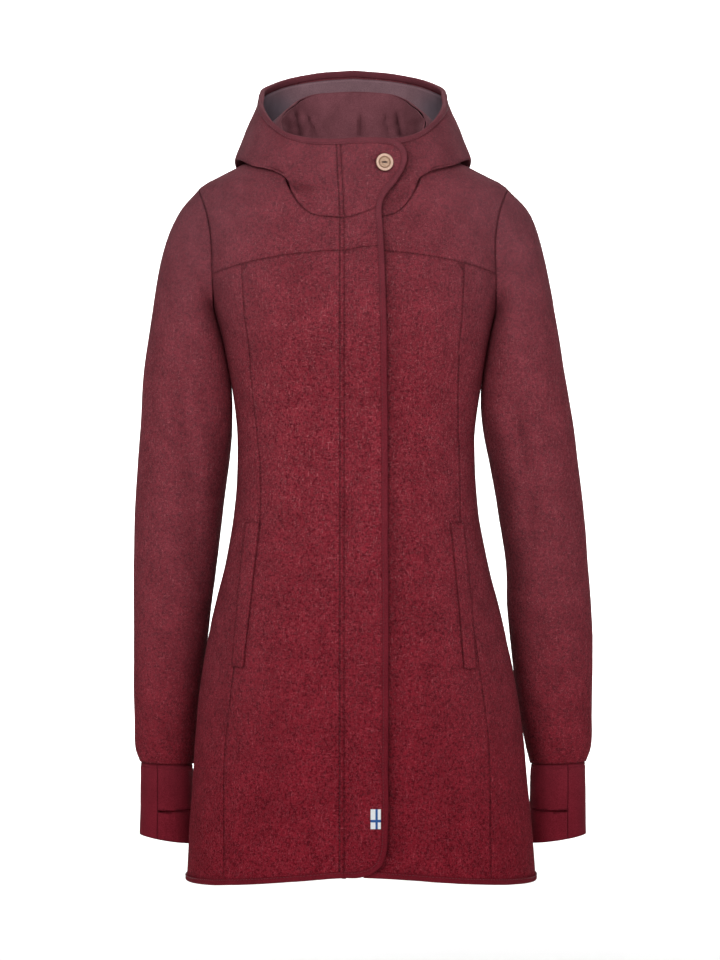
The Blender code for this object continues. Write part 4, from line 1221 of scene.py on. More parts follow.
def under_wool(angle, along):
    """A point on the lining where it lies on the inside of the hood's wool."""
    return hood(angle, along) - LINING_EASE * hood_normal(angle, along)


def lining_top(angle):
    """How far along the hood section its lining ends, under the rim's binding."""
    return rim_along(angle, BINDING_WIDTH + RIM_MARGIN)


def section_at(point):
    """Radius and height of a point in its hood section."""
    return np.hypot(point[..., 0] - HOOD_CENTRE, point[..., 1]), point[..., 2]


def ridge(angle):
    """Radius and height of the lining's fold, which stands inside the hood and meets the rim."""
    free = ease(*RIDGE_FREE, turned(angle))
    radius, height = section_at(under_wool(angle, lining_top(angle)))
    rise = RIDGE.read("ridge_z", turned(angle)) - height
    return radius + free * (RIDGE.read("ridge", turned(angle)) - radius), height + free * rise


def neck_lining_surface(angle, along):
    """The lining inside the neck, from the neck seam (0) to its fold or the rim (1)."""
    top, top_z = ridge(angle)
    radii, heights = hood_sections(angle)
    foot, foot_z = radii[0] - NECK_LINING_EASE, heights[0] + NECK_LINING_RISE
    places = (0, 0.5, 1)
    radius = smooth(places, np.stack([foot, (foot + top) / 2 - NECK_LINING_HOLLOW, top]), along)
    height = smooth(places, np.stack([foot_z, (foot_z + top_z) / 2, top_z]), along)
    free = ease(*NECK_LINING_FREE, turned(angle))[..., None]
    lying = under_wool(angle, NECK_LINING_FOOT + (lining_top(angle) - NECK_LINING_FOOT) * along)
    return (1 - free) * lying + free * turn_section(angle, radius, height)


def hood_lining_surface(angle, along):
    """The lining of the pouch, from its fold (0) down inside and up to the rim (1)."""
    radii, heights = hood_sections(angle)
    top, top_z = ridge(angle)
    fold = radii[2] - POUCH_IN
    fold_z = heights[2] + POUCH_UP + POUCH_UP_BEHIND * ease(*POUCH_BEHIND, turned(angle))
    side, side_z = section_at(under_wool(angle, POUCH_PLACES[4] + 0 * angle))
    upper, upper_z = section_at(under_wool(angle, POUCH_PLACES[5] + 0 * angle))
    rim, rim_z = section_at(under_wool(angle, lining_top(angle)))
    slope, slope_z = top + 0.45 * (fold - top), 0.6 * top_z + 0.4 * fold_z
    shoulder = top + 0.12 * (side - top)
    radius = np.stack([top + 0.6, shoulder, slope, fold, side, upper, rim])
    height = np.stack([top_z + 0.4, top_z - 3, slope_z, fold_z, side_z, upper_z, rim_z])
    radius, height = (smooth(POUCH_PLACES, values, along) for values in (radius, height))
    return turn_section(angle, radius, height)


def rim_angles():
    """Directions of the rim's places, from the right front round the back to the left front."""
    right = hood_grid(-1)[0][-1] % (2 * pi)
    left = hood_grid(1)[0][-1]
    return np.concatenate([right, hood_middle_angles()[::-1][1:-1], left[::-1]])


def lining(name, surface, angles, rows, finish, seams):
    """A lining laid on its surface, which is read within its own edges only."""
    def within(angle, along):
        return surface(angle, np.clip(along, 0, 1))

    angle, along = np.meshgrid(angles, rows)
    points = surface(angle, along)
    normals = outward(within, angle, along, TURN_STEP, ALONG_STEP)
    cloth(name, points, normals, JERSEY, finish, seams, group="lining")


def patch(name, corners, lift, wall, finish, rests_on, columns, rows, seams=""):
    """A flat piece sewn on the front: corners are its left and right edges in (across, height)."""
    left, right = (np.asarray(edge, float) for edge in corners)
    part = np.linspace(0, 1, columns + 1)[None, :, None]
    row = np.linspace(0, len(left) - 1, rows + 1)
    left, right = (
        np.stack([smooth(np.arange(len(edge)), edge[:, axis], row) for axis in (0, 1)], -1)
        for edge in (left, right)
    )
    grid = left[:, None] * (1 - part) + right[:, None] * part
    points, normals = lift(grid)
    cloth(name, points, normals, wall, finish, seams, group="body")


def welt(rows, hand):
    edges = [[(row[column], row[0]) for row in rows] for column in (1, 2)]

    def lift(grid):
        point, normal = front(grid[..., 0], grid[..., 1])
        return point + normal * WELT_RISE, normal

    rests_on = (f"front_centre_{hand}",)
    patch(f"welt_{hand}", edges, lift, WELT_WALL, "wool_fleece", rests_on, *WELT_STEPS, "LRTB")


def label():
    bottom = LABEL_TOP - LABEL_HEIGHT
    sides = LABEL_LEFT, LABEL_LEFT + LABEL_WIDTH
    edges = [[(across, LABEL_TOP), (across, bottom)] for across in sides]

    def lift(grid):
        return band_surface(grid, SEAM_GAP + LABEL_WALL)

    patch("flag_label", edges, lift, LABEL_WALL, "label_weave", ("band_front",), *LABEL_STEPS)


def thread(bm, points, normals, radius, sides=5):
    """A length of thread that follows points, its ends drawn to a point."""
    along = unit(np.gradient(points, axis=0))
    over = unit(normals - (normals * along).sum(-1, keepdims=True) * along)
    beside = np.cross(along, over)
    swell = radius * np.sin(np.linspace(THREAD_POINT, pi - THREAD_POINT, len(points)))[:, None, None]
    turn = np.linspace(0, 2 * pi, sides + 1)
    ring = np.cos(turn)[:, None] * over[:, None] + np.sin(turn)[:, None] * beside[:, None]
    lay_grid(bm, points[:, None] + swell * ring)


def stitch_line(bm, points, normals):
    """Stitches along a line, each a short thread that dips into the cloth at both ends."""
    run = lengths(points)
    rise = np.array(STITCH_RISE)[:, None]
    for start in np.arange(0, run[-1] - STITCH, STITCH + STITCH_GAP):
        at = start + np.linspace(0, STITCH, len(rise))
        place, normal = (
            np.stack([np.interp(at, run, values[:, axis]) for axis in range(3)], -1)
            for values in (points, normals)
        )
        thread(bm, place + rise * normal, normal, THREAD_RADIUS)


def sewing(name, lines):
    """One piece that holds all the stitches of several lines."""
    bm = bmesh.new()
    for points, normals in lines:
        stitch_line(bm, points, normals)
    close(bm)
    trim(name, bm, "thread")


def band_seam_stitches():
    height = np.linspace(-6, HEM_CENTRE + 8, 400)
    points, normals = front(band_seam(height) + BAND_STITCH, height)
    return [(relax(points, normals, "body") - STITCH_SINK * normals, normals)]


def seam_backing(name, points, normals):
    """The seam allowance that closes a seam from behind."""
    points = relax(points, normals, "body")
    across = unit(np.cross(normals, np.gradient(points, axis=0)))
    half, top, under = ALLOWANCE
    corners = ((-half, top), (half, top), (half, under), (-half, under), (-half, top))
    bm = bmesh.new()
    lay_grid(bm, np.stack([points + beside * across + deep * normals for beside, deep in corners], 1))
    close(bm)
    trim(name, bm, "binding")


def seam_allowances():
    height = np.linspace(-4, HEM_CENTRE - 1, 300)
    seam_backing("band_seam_allowance", *front(band_seam(height), height))
    for side, hand in ((-1, "right"), (1, "left")):
        turn = side * pi / 2
        height = np.linspace(SIDE_SEAM_TOP, hem(turn) - 1, 200)
        seam_backing(f"side_seam_allowance_{hand}", torso(turn, height), torso_normal(turn, height))


def tape_stitches(corners, inwards_corner, side_corner):
    """Stitches along a binding, between two corners of its section."""
    inwards, beside = corners[:, inwards_corner], corners[:, side_corner]
    points = inwards + STITCH_INSET * (beside - inwards)
    normals = unit(np.cross(np.gradient(points, axis=0), beside - inwards))
    return points, normals * np.sign((normals * (points - corners[:, -1])).sum(-1, keepdims=True))


def button_seat():
    """Where the button lies on the band, and how it leans."""
    point, normal = band_surface(np.array([BUTTON_PLACE]))
    place = (relax(point, normal, "body")[0] + normal[0] * BUTTON_RISE) * MM
    turn = mathutils.Vector(normal[0]).to_track_quat("Z", "Y").to_matrix().to_4x4()
    return mathutils.Matrix.Translation(place) @ turn


def button_disc(seat):
    """A turned wooden button, dished inside a raised rim, with two holes."""
    bm = bmesh.new()
    turned = bm.verts.layers.float.new("turned")
    verts = [bm.verts.new((radius * MM, 0, height * MM)) for radius, height in BUTTON_PROFILE]
    edges = [bm.edges.new(ends) for ends in zip(verts, verts[1:])]
    bmesh.ops.spin(
        bm, geom=verts + edges, cent=(0, 0, 0), axis=(0, 0, 1), angle=2 * pi, steps=BUTTON_STEPS,
        use_merge=True,
    )
    bmesh.ops.remove_doubles(bm, verts=bm.verts, dist=MERGE)
    bmesh.ops.recalc_face_normals(bm, faces=bm.faces)
    for vert in bm.verts:
        vert[turned] = vert.co.xy.length / MM
    bmesh.ops.transform(bm, matrix=seat, verts=bm.verts)
    disc = dress("button", bm, "button_wood", BUTTON_SHARP)
    holes = []
    for side in (-1, 1):
        bm = bmesh.new()
        bmesh.ops.create_cone(
            bm, cap_ends=True, segments=24, radius1=BUTTON_HOLE_RADIUS * MM,
            radius2=BUTTON_HOLE_RADIUS * MM, depth=BUTTON_HOLE_DEPTH * MM,
        )
        across = mathutils.Matrix.Translation((side * BUTTON_HOLE_SPACING / 2 * MM, 0, 0))
        bmesh.ops.transform(bm, matrix=seat @ across, verts=bm.verts)
        holes.append(bm)
    cut_away(disc, holes)


def button_thread(seat):
    """Three turns of thread from one hole to the other."""
    bm = bmesh.new()
    span = np.linspace(-1, 1, 9)
    sunk = np.clip(np.abs(span) - BUTTON_THREAD_BEND, 0, 1) / (1 - BUTTON_THREAD_BEND)
    rise = BUTTON_THREAD_RISE - BUTTON_THREAD_SINK * sunk
    across = BUTTON_THREAD_REACH * span
    for beside in (-BUTTON_THREAD_APART, 0, BUTTON_THREAD_APART):
        points = np.stack([across, beside + 0 * span, rise], -1)
        thread(bm, points, np.tile([0.0, 0.0, 1.0], (9, 1)), BUTTON_THREAD_RADIUS, 8)
    close(bm)
    bmesh.ops.transform(bm, matrix=seat, verts=bm.verts)
    trim("button_thread", bm, "button_thread")


def button():
    seat = button_seat()
    button_disc(seat)
    button_thread(seat)


class Recipe:
    """A material or node group under construction."""

    def __init__(self, tree):
        self.tree = tree

    def node(self, kind, inputs=None, **settings):
        made = self.tree.nodes.new("ShaderNode" + kind)
        for key, value in settings.items():
            setattr(made, key, value)
        for key, value in (inputs or {}).items():
            self.feed(made.inputs[key], value)
        return made

    def feed(self, socket, value):
        if isinstance(value, bpy.types.NodeSocket):
            self.tree.links.new(value, socket)
        else:
            socket.default_value = value

    def math(self, operation, *values):
        made = self.node("Math", operation=operation)
        for socket, value in zip(made.inputs, values):
            self.feed(socket, value)
        return made.outputs[0]

    def times(self, first, second):
        return self.math("MULTIPLY", first, second)

    def plus(self, first, second):
        return self.math("ADD", first, second)

    def apart(self, value, place):
        return self.math("ABSOLUTE", self.math("SUBTRACT", value, place))

    def split(self, vector):
        return self.node("SeparateXYZ", {0: vector}).outputs

    def place(self):
        return self.node("TexCoord").outputs["Object"]

    def attribute(self, name, output="Fac"):
        return self.node("Attribute", attribute_name=name).outputs[output]

    def noise(self, vector, scale, detail=2.0, rough=0.5, warp=0.0):
        names = "Vector", "Scale", "Detail", "Roughness", "Distortion"
        values = dict(zip(names, (vector, scale, detail, rough, warp)))
        return self.node("TexNoise", values).outputs["Fac"]

    def laid(self, vector, turn, scale):
        return self.node("Mapping", {"Vector": vector, "Rotation": turn, "Scale": scale}).outputs[0]

    def stretch(self, value, low, high, to_low=0.0, to_high=1.0):
        """A soft step from to_low to to_high, between low and high."""
        names = "Value", "From Min", "From Max", "To Min", "To Max"
        values = dict(zip(names, (value, low, high, to_low, to_high)))
        return self.node("MapRange", values, interpolation_type="SMOOTHSTEP").outputs["Result"]

    def mix(self, factor, first, second, way="MIX"):
        made = self.node("Mix", {0: factor}, data_type="RGBA", blend_type=way)
        self.feed(made.inputs[6], first)
        self.feed(made.inputs[7], second)
        return made.outputs[2]

    def shaded(self, base, shade):
        tone = self.node("CombineColor", {"Red": shade, "Green": shade, "Blue": shade})
        return self.mix(1.0, base, tone.outputs[0], "MULTIPLY")

    def bump(self, height, depth, *under):
        values = dict(zip(("Strength", "Height", "Distance", "Normal"), (1.0, height, depth, *under)))
        return self.node("Bump", values).outputs["Normal"]

    def shared(self, group, **inputs):
        return self.node("Group", inputs, node_tree=group).outputs

    def product(self, first, *others):
        for other in others:
            first = self.times(first, other)
        return first

    def waves(self, lay, pitches):
        """A wave along each of the first directions of a lay, by its pitch in mm."""
        return [
            self.math("SINE", self.times(lay[axis], 2 * pi / (pitch * MM)))
            for axis, pitch in enumerate(pitches)
        ]


def colour(red, green, blue):
    """An 8-bit sRGB colour as the linear value that a shader takes."""
    parts = [value / 255 for value in (red, green, blue)]
    return (*[p / 12.92 if p < 0.04045 else ((p + 0.055) / 1.055) ** 2.4 for p in parts], 1)


def new_group(name, given, made):
    """An empty node group, its inputs and outputs named with their kinds."""
    group = bpy.data.node_groups.new(name, "ShaderNodeTree")
    for way, sockets in (("INPUT", given), ("OUTPUT", made)):
        for socket, kind in sockets.items():
            group.interface.new_socket(name=socket, in_out=way, socket_type="NodeSocket" + kind)
    return group, Recipe(group), group.nodes.new("NodeGroupInput").outputs


YARN_FINENESS = 900.0
# Napped cloth: flecks to a metre, which of them are dark and light, the share of loose fibres, and
# the depth of the nap in metres
WOOL_NAP = (340.0, (0.38, 0.58), 0.55, 0.0008)
JERSEY_NAP = (YARN_FINENESS, (0.3, 0.7), 0.25, 0.0003)
# Ribbed cloth: pitch of the wales and of the courses in mm, and their depth in metres
CUFF_RIBS = ((1.5, 1.1), 0.00022)
BINDING_RIBS = ((0.9, 1.4), 0.00016)
CLOUD_FINENESS = 38.0
# Shades from one value to another, and the tones there
CLOUD_SHADE = (0.25, 0.75, 0.86, 1.1)
RIB_CLOUD_SHADE = (0.25, 0.75, 0.9, 1.08)
SEAM_SHADE = (0.0, 1.6, 0.66, 1.0)
RIB_SEAM_SHADE = (0.0, 1.6, 0.7, 1.0)
STITCH_SHADE = (0.1, 1.2, 0.62, 1.0)
# How far in mm the cloth rounds down into a seam, into a row of stitches and in the ribbed pieces
SEAM_ROUND = (0.0, 3.2)
STITCH_ROUND = (0.1, 1.6)
RIB_ROUND = (0.0, 2.4)
ROUND_DEPTH = 0.0011
RIB_ROUND_DEPTH = 0.0009
# Turn and scale of the three sets of loose fibres
STRAND_LAYS = (
    ((0.5, 0.3, 0.7), (0.32, 1.6, 1.6)),
    ((-0.4, 0.8, -0.5), (1.6, 1.6, 0.3)),
    ((0.9, -0.5, 0.2), (1.5, 0.34, 1.5)),
)
FIBRE_OUTPUTS = ("Fleck", "Fibre", "Cloud", "Nap")
# Dark, main and light yarn of the napped cloths, and main and dark of the others, in 8-bit sRGB
WOOL_COLOURS = ((88, 20, 31), (134, 40, 52), (210, 120, 127))
NECK_COLOURS = ((106, 60, 68), (132, 80, 88), (156, 104, 112))
# The hood's lining is the neck's jersey painted lighter and greyer, as painted light inside the pouch
HOOD_LIT_COLOURS = ((130, 98, 106), (154, 120, 128), (174, 146, 152))
# Painted shade of the pouch's lining: the tone at its fold, and the greyer tone low at its sides
POUCH_SHADE_COLOURS = ((118, 70, 78), (122, 108, 118))
CUFF_COLOURS = ((138, 50, 63), (106, 33, 44))
BINDING_COLOURS = ((130, 44, 55), (98, 29, 40))
THREAD_COLOURS = ((104, 34, 44), (70, 20, 28))
BUTTON_THREAD_COLOURS = ((60, 34, 36), (34, 18, 20))
# Pale and deep grain, pores, rim, turned groove, and the painted shade of the button's outer edge
WOOD_COLOURS = (
    (206, 172, 148), (160, 124, 98), (140, 104, 80), (214, 178, 158), (132, 98, 74), (120, 80, 64)
)
# Where on the button its rim, groove and the outer edge's painted shade begin and are full, in mm from
# its middle
WOOD_RIM = (6.9, 7.5)
WOOD_GROOVE = ((5.2, 5.9), (7.3, 6.7))
WOOD_EDGE_SHADE = (9.6, 10.3)
WOOD_TURN = (0.1, 0.0, 0.25)
WOOD_FINENESS = (420, 60, 2400)
# Low and high thread of the ribbon's ground and of its cross
LABEL_WHITE = ((232, 236, 240), (252, 253, 255))
LABEL_BLUE = ((18, 62, 128), (44, 106, 178))
# Middle and half width of the cross's upright and of its bar
LABEL_CROSS = ((6.9, 1.35), (13.6, 1.5))
LABEL_PITCH = 0.55
# Painted light by height, from the hem (first height of the first pair, in metres) up to the hood:
# painted shade that deepens the cloth at the hem, and a greyish painted sheen up top and on the sleeves
HEM_SHADE_HEIGHTS = (-0.86, -0.32)
SHEEN_HEIGHTS = (-0.32, 0.06)
HEM_SHADE_TINT = (0.84, 0.48, 0.58, 1)
TINT_WAIST = (1, 1, 1, 1)
SHEEN_COLOUR = (0.172, 0.068, 0.084, 1)
SHEEN_AT_HOOD = 0.48
SHEEN_ON_SLEEVES = 0.28
SHEEN_BESIDE = (0.06, 0.2)
SHEEN_BESIDE_HEIGHTS = (-0.86, -0.45)
# Painted shade in the hood's pouch, where it turns darker: out to the sides, low down, and in its fold
# (all in metres)
POUCH_SHADE_SIDES = (0.06, 0.1)
POUCH_SHADE_HEIGHTS = (0.09, 0.06)
POUCH_SHADE_FOLD = (0.004, 0.03)
# The seam down the front of each cuff: the middle between the two, and how far out each lies, in mm
CUFF_SEAMS = (8.4, 248.2)
# Depths of painted shade (in folds, round the button, on a sleeve's inner side) from which it begins
# and is full, and the tones of that painted shade and of the painted shadow beside the band's lap
PAINTED_SHADE_DEPTHS = (0.4, 6.5)
PAINTED_SHADE_TONE = 0.6
LAP_SHADE = 0.5


def fibres_group():
    """Shared by all the napped cloth: flecks of dyed wool, loose fibres and cloudy shading."""
    group, make, given = new_group(
        "napped fibres", {"Place": "Vector", "Fineness": "Float"}, dict.fromkeys(FIBRE_OUTPUTS, "Float")
    )
    sizes = {0: given["Place"], "Scale": given["Fineness"]}
    scaled = make.node("VectorMath", sizes, operation="SCALE").outputs[0]
    fleck = make.noise(scaled, 1.0, 4, 0.68, 0.6)
    strands = [make.noise(make.laid(scaled, *lay), 1.5, 3, 0.6, 1.4) for lay in STRAND_LAYS]
    fibre = make.math("MAXIMUM", make.math("MAXIMUM", strands[0], strands[1]), strands[2])
    fibre = make.stretch(fibre, 0.56, 0.72)
    cloud = make.noise(given["Place"], CLOUD_FINENESS, 3, 0.55)
    nap = make.plus(make.times(fleck, 0.9), make.times(fibre, 0.35))
    made = group.nodes.new("NodeGroupOutput").inputs
    for name, value in zip(FIBRE_OUTPUTS, (fleck, fibre, cloud, nap)):
        make.feed(made[name], value)
    return group


def sheen_by_height_group():
    """Painted light by height: painted shade leaves the cloth deep and full at the hem, and a greyer
    painted sheen grows toward the shoulders, the hood and the sleeves.
    """
    group, make, given = new_group(
        "painted light by height", {"Place": "Vector", "Dye": "Color"}, {"Color": "Color"}
    )
    place = make.split(given["Place"])
    hem_shade = make.mix(make.stretch(place[2], *HEM_SHADE_HEIGHTS), HEM_SHADE_TINT, TINT_WAIST)
    deep = make.mix(1.0, given["Dye"], hem_shade, "MULTIPLY")
    beside = make.stretch(make.math("ABSOLUTE", place[0]), *SHEEN_BESIDE, 0.0, SHEEN_ON_SLEEVES)
    beside = make.times(beside, make.stretch(place[2], *SHEEN_BESIDE_HEIGHTS))
    sheen_share = make.plus(make.stretch(place[2], *SHEEN_HEIGHTS, 0.0, SHEEN_AT_HOOD), beside)
    make.feed(group.nodes.new("NodeGroupOutput").inputs["Color"], make.mix(sheen_share, deep, SHEEN_COLOUR))
    return group


def new_finish(name, roughness, specular=0.3, sheen=0.0):
    """A material under construction, and its shader."""
    material = bpy.data.materials.new(name)
    material.use_nodes = True
    shader = material.node_tree.nodes["Principled BSDF"].inputs
    shader["Roughness"].default_value = roughness
    shader["Metallic"].default_value = 0
    shader["Specular IOR Level"].default_value = specular
    shader["Sheen Weight"].default_value = sheen
    shader["Sheen Roughness"].default_value = 0.4
    finishes[name] = material
    return Recipe(material.node_tree), shader


def napped(name, group, painted_light, colours, nap, pouch=None):
    """Melange cloth with a napped face, rounded down into its seams."""
    fineness, flecks, fibre_share, nap_depth = nap
    make, shader = new_finish(name, 0.95, 0.05)
    place = make.place()
    wool = make.shared(group, Place=place, Fineness=fineness)
    dark, main, light = (colour(*parts) for parts in colours)
    base = make.mix(make.stretch(wool["Fleck"], *flecks), dark, main)
    base = make.mix(make.times(wool["Fibre"], fibre_share), base, light)
    # Painted shade toward the hem and painted sheen toward the hood, by height
    if painted_light is not None:
        base = make.shared(painted_light, Place=place, Dye=base)["Color"]
    # Painted shade inside the hood's pouch: darker toward its fold, greyer and darker low at its sides
    if pouch is not None:
        fold, sides = (colour(*parts) for parts in pouch)
        spot = make.split(place)
        low = make.stretch(make.math("ABSOLUTE", spot[0]), *POUCH_SHADE_SIDES)
        base = make.mix(make.times(low, make.stretch(spot[2], *POUCH_SHADE_HEIGHTS)), base, sides)
        down = make.split(make.attribute("weave", "Vector"))[1]
        base = make.mix(make.stretch(down, *POUCH_SHADE_FOLD), fold, base)
    seam = make.attribute("seam")
    line = make.apart(make.attribute("stitched"), BAND_STITCH)
    # Random cloud, dark seams and stitching, and painted shade: in folds, round the button, on the
    # sleeves' inner sides and beside the band's free edge
    shade = make.product(
        make.stretch(wool["Cloud"], *CLOUD_SHADE),
        make.stretch(seam, *SEAM_SHADE),
        make.stretch(make.attribute("folded"), *PAINTED_SHADE_DEPTHS, 1.0, PAINTED_SHADE_TONE),
        make.stretch(line, *STITCH_SHADE),
        make.math("SUBTRACT", 1.0, make.times(make.attribute("lapped"), LAP_SHADE)),
    )
    make.feed(shader["Base Color"], make.shaded(base, shade))
    groove = make.math("MINIMUM", make.stretch(seam, *SEAM_ROUND), make.stretch(line, *STITCH_ROUND))
    make.feed(shader["Normal"], make.bump(wool["Nap"], nap_depth, make.bump(groove, ROUND_DEPTH)))


def ribbed(name, group, painted_light, colours, ribs, roughness, seams=None):
    """Knitted cloth or tape with fine wales and courses that follow the cut piece."""
    pitches, depth = ribs
    main, dark = (colour(*parts) for parts in colours)
    make, shader = new_finish(name, roughness, 0.06)
    wales, courses = make.waves(make.split(make.attribute("weave", "Vector")), pitches)
    knit = make.plus(make.times(wales, 0.6), make.times(courses, 0.25))
    place = make.place()
    yarn = make.shared(group, Place=place, Fineness=YARN_FINENESS)
    fleck = make.stretch(make.plus(yarn["Fleck"], make.times(knit, 0.06)), 0.36, 0.66)
    # Painted shade toward the hem and painted sheen toward the hood, by height
    base = make.shared(painted_light, Place=place, Dye=make.mix(fleck, dark, main))["Color"]
    seam = make.attribute("seam")
    cloud = make.stretch(yarn["Cloud"], *RIB_CLOUD_SHADE)
    shade = make.times(cloud, make.stretch(seam, *RIB_SEAM_SHADE))
    groove = make.stretch(seam, *RIB_ROUND)
    if seams is not None:
        middle, spread = seams
        away = make.apart(make.apart(make.split(place)[0], middle * MM), spread * MM)
        groove = make.math("MINIMUM", groove, make.stretch(away, 0.1 * MM, 1.3 * MM))
        shade = make.times(shade, make.stretch(away, 0.1 * MM, 1.0 * MM, 0.6, 1.0))
    make.feed(shader["Base Color"], make.shaded(base, shade))
    height = make.plus(knit, make.times(yarn["Nap"], 1.2))
    make.feed(shader["Normal"], make.bump(height, depth, make.bump(groove, RIB_ROUND_DEPTH)))


def woven_label():
    """White ribbon with the blue cross of the flag of Finland."""
    make, shader = new_finish("label_weave", 0.6, sheen=0.2)
    lay = make.split(make.attribute("weave", "Vector"))
    arms = []
    for axis, (middle, half) in enumerate(LABEL_CROSS):
        away = make.apart(lay[axis], middle * MM)
        arms.append(make.stretch(away, (half - 0.15) * MM, (half + 0.15) * MM, 1.0, 0.0))
    weave = make.times(*make.waves(lay, (LABEL_PITCH, LABEL_PITCH)))
    raised = make.stretch(weave, -1, 1)
    white, blue = (
        make.mix(raised, colour(*low), colour(*high)) for low, high in (LABEL_WHITE, LABEL_BLUE)
    )
    make.feed(shader["Base Color"], make.mix(make.math("MAXIMUM", *arms), white, blue))
    make.feed(shader["Normal"], make.bump(weave, 0.00012))


def turned_wood():
    """Pale unvarnished wood: straight grain, with a darker groove, a paler rim and an outer edge darkened
    as painted shade.
    """
    make, shader = new_finish("button_wood", 0.55, 0.4)
    place = make.place()
    lines = make.noise(make.laid(place, WOOD_TURN, WOOD_FINENESS), 1.0, 4, 0.65, 0.8)
    fine = make.noise(place, 2600.0, 2, 0.6)
    pale, deep, pores, rim, groove, edge = (colour(*parts) for parts in WOOD_COLOURS)
    base = make.mix(make.stretch(lines, 0.3, 0.7), deep, pale)
    base = make.mix(make.times(make.stretch(fine, 0.55, 0.75), 0.3), base, pores)
    turned = make.attribute("turned")
    base = make.mix(make.stretch(turned, *WOOD_RIM), base, rim)
    cut = make.times(*(make.stretch(turned, *side) for side in WOOD_GROOVE))
    base = make.mix(make.times(cut, 0.75), base, groove)
    # Painted shade on the button's outer edge
    make.feed(shader["Base Color"], make.mix(make.stretch(turned, *WOOD_EDGE_SHADE), base, edge))
    make.feed(shader["Roughness"], make.stretch(lines, 0.2, 0.8, 0.62, 0.46))
    make.feed(shader["Normal"], make.bump(make.plus(lines, make.times(fine, 0.3)), 0.00012))


def spun(name, main, dark):
    """Sewing thread, twisted."""
    make, shader = new_finish(name, 0.6, sheen=0.3)
    twist = make.noise(make.place(), 3200.0, 2, 0.6)
    tone = make.mix(make.stretch(twist, 0.35, 0.65), colour(*dark), colour(*main))
    make.feed(shader["Base Color"], tone)
    make.feed(shader["Normal"], make.bump(twist, 0.00008))


def make_finishes():
    fibres, painted_light = fibres_group(), sheen_by_height_group()
    napped("wool_fleece", fibres, painted_light, WOOL_COLOURS, WOOL_NAP)
    napped("neck_jersey", fibres, None, NECK_COLOURS, JERSEY_NAP)
    # The hood's lining: a lit copy of the neck's jersey, with painted shade in its pouch
    napped("hood_jersey_lit", fibres, None, HOOD_LIT_COLOURS, JERSEY_NAP, POUCH_SHADE_COLOURS)
    ribbed("cuff_jersey", fibres, painted_light, CUFF_COLOURS, CUFF_RIBS, 0.9, CUFF_SEAMS)
    ribbed("binding", fibres, painted_light, BINDING_COLOURS, BINDING_RIBS, 0.85)
    woven_label()
    turned_wood()
    spun("thread", *THREAD_COLOURS)
    spun("button_thread", *BUTTON_THREAD_COLOURS)


CAMERA_DISTANCE = 4.0
CAMERA_ACROSS = 0.005
CAMERA_HEIGHT = -0.399
VIEW_HEIGHT = 1.152
SENSOR = 36
FLOOR = -1.15
SWEEP_REACH = 10.0
SWEEP_START = 6.6
SWEEP_RADIUS = 1.5
SWEEP_TOP = 4.0
PAPER = (0.86, 0.88)
# Soft lamps: name, place, what each faces, its size and its power
LAMPS = (
    ("key_lamp", (-0.8, -3.9, 1.2), (0, 0, -0.4), (1.6, 1.6), 76),
    ("fill_lamp", (1.0, -3.9, 0.2), (0, 0, -0.4), (1.6, 1.6), 33),
    ("top_lamp", (0.1, -0.5, 2.2), (0, 0, -0.3), (1.6, 1.6), 6),
    ("floor_lamp", (0, 4.2, 3.6), (0, 3.4, -1.15), (6, 3), 250),
    ("wall_lamp", (0, 5.9, 3.2), (0, 8.1, -0.6), (7, 1.2), 440),
)
ROOM_LIGHT = 0.24


def sweep():
    """A pale floor that curves up behind."""
    bm = bmesh.new()
    bend = [(y, FLOOR) for y in (-SWEEP_REACH, SWEEP_START)]
    bend += [
        (SWEEP_START + SWEEP_RADIUS * sin(a), FLOOR + SWEEP_RADIUS * (1 - cos(a)))
        for a in np.linspace(0, pi / 2, 17)[1:]
    ]
    bend += [(SWEEP_START + SWEEP_RADIUS, SWEEP_TOP)]
    verts = [bm.verts.new((-SWEEP_REACH, y, z)) for y, z in bend]
    edges = [bm.edges.new(ends) for ends in zip(verts, verts[1:])]
    made = bmesh.ops.extrude_edge_only(bm, edges=edges)["geom"]
    moved = [part for part in made if isinstance(part, bmesh.types.BMVert)]
    bmesh.ops.translate(bm, vec=(2 * SWEEP_REACH, 0, 0), verts=moved)
    bmesh.ops.recalc_face_normals(bm, faces=bm.faces)
    make, shader = new_finish("pale paper", 1.0, 0.5)
    low, high = ((value, value, value, 1) for value in PAPER)
    make.feed(shader["Base Color"], make.mix(make.noise(make.place(), 2.0), low, high))
    put("studio_floor", bm, "pale paper")


def stand(name, data, place):
    """A lamp or the camera in the scene, at a place."""
    made = bpy.data.objects.new(name, data)
    made.location = place
    bpy.context.scene.collection.objects.link(made)
    return made


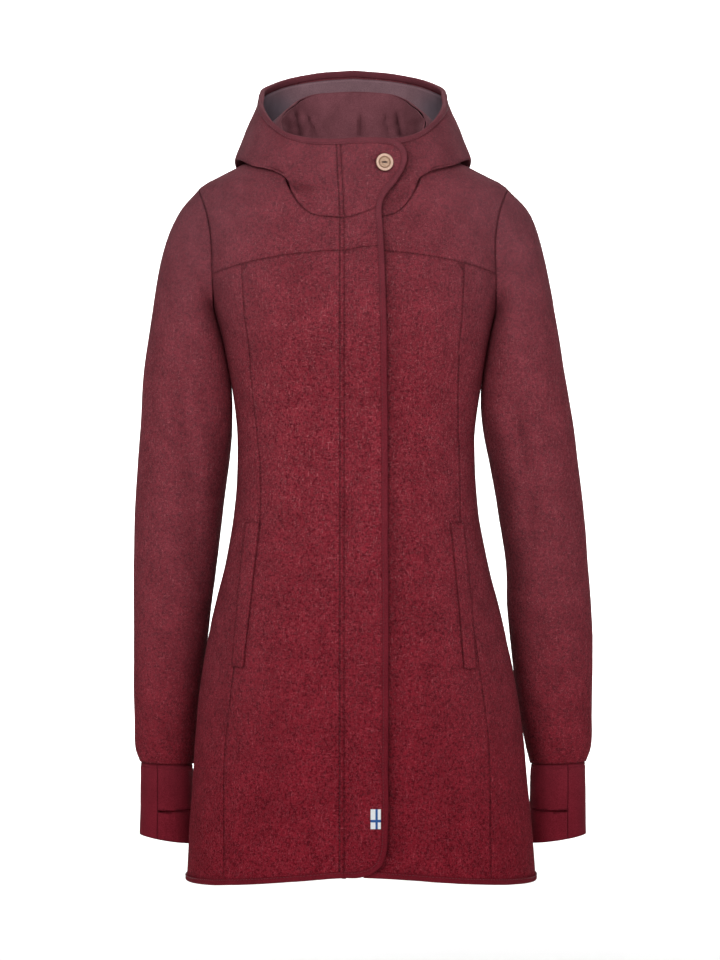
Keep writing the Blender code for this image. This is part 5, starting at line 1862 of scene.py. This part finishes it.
def studio():
    """The sweep, soft lamps, the light of the room and the photograph's camera."""
    sweep()
    for name, place, faces, size, power in LAMPS:
        lamp = bpy.data.lights.new(name, "AREA")
        lamp.shape = "RECTANGLE"
        lamp.size, lamp.size_y = size
        lamp.energy = power
        aim = mathutils.Vector(faces) - mathutils.Vector(place)
        stand(name, lamp, place).rotation_euler = aim.to_track_quat("-Z", "Y").to_euler()
    scene = bpy.context.scene
    world = bpy.data.worlds.new("soft room")
    world.use_nodes = True
    light = world.node_tree.nodes["Background"].inputs
    light["Color"].default_value = (1, 1, 1, 1)
    light["Strength"].default_value = ROOM_LIGHT
    scene.world = world
    scene.view_settings.view_transform = "Standard"
    camera = bpy.data.cameras.new("camera")
    camera.sensor_fit = "VERTICAL"
    camera.sensor_height = SENSOR
    camera.lens = SENSOR * CAMERA_DISTANCE / VIEW_HEIGHT
    scene.camera = stand("camera", camera, (CAMERA_ACROSS, -CAMERA_DISTANCE, CAMERA_HEIGHT))
    scene.camera.rotation_euler = (pi / 2, 0, 0)


def coat():
    """Every piece of the coat, its sewing and its seam allowances."""
    for side, hand, sleeve_rows, welt_rows in (
        (-1, "right", RIGHT_SLEEVE_ROWS, RIGHT_WELT_ROWS), (1, "left", LEFT_SLEEVE_ROWS, LEFT_WELT_ROWS)
    ):
        front_centre(side, hand)
        front_side(side, hand)
        front_yoke(side, hand)
        hood_side(side, hand)
        sleeve(sleeve_rows, side, hand)
        cuff(sleeve_rows, side, hand)
        welt(welt_rows, hand)
    back()
    hood_middle()
    band_pieces()
    bound = [band_binding(), hem_binding(), rim_binding()]
    around = np.sort(rim_angles())
    pouch = around[np.abs(around - pi) < pi - radians(LINING_START)]
    seam_allowances()
    lining("neck_lining", neck_lining_surface, around, NECK_LINING_ROWS, "neck_jersey", "T")
    lining("hood_lining", hood_lining_surface, pouch, POUCH_ROWS, "hood_jersey_lit", "B")
    button()
    label()
    sewing("band_stitches", band_seam_stitches())
    sewing("binding_stitches", [tape_stitches(corners, 1, 2) for corners in bound])


make_finishes()
coat()
studio()
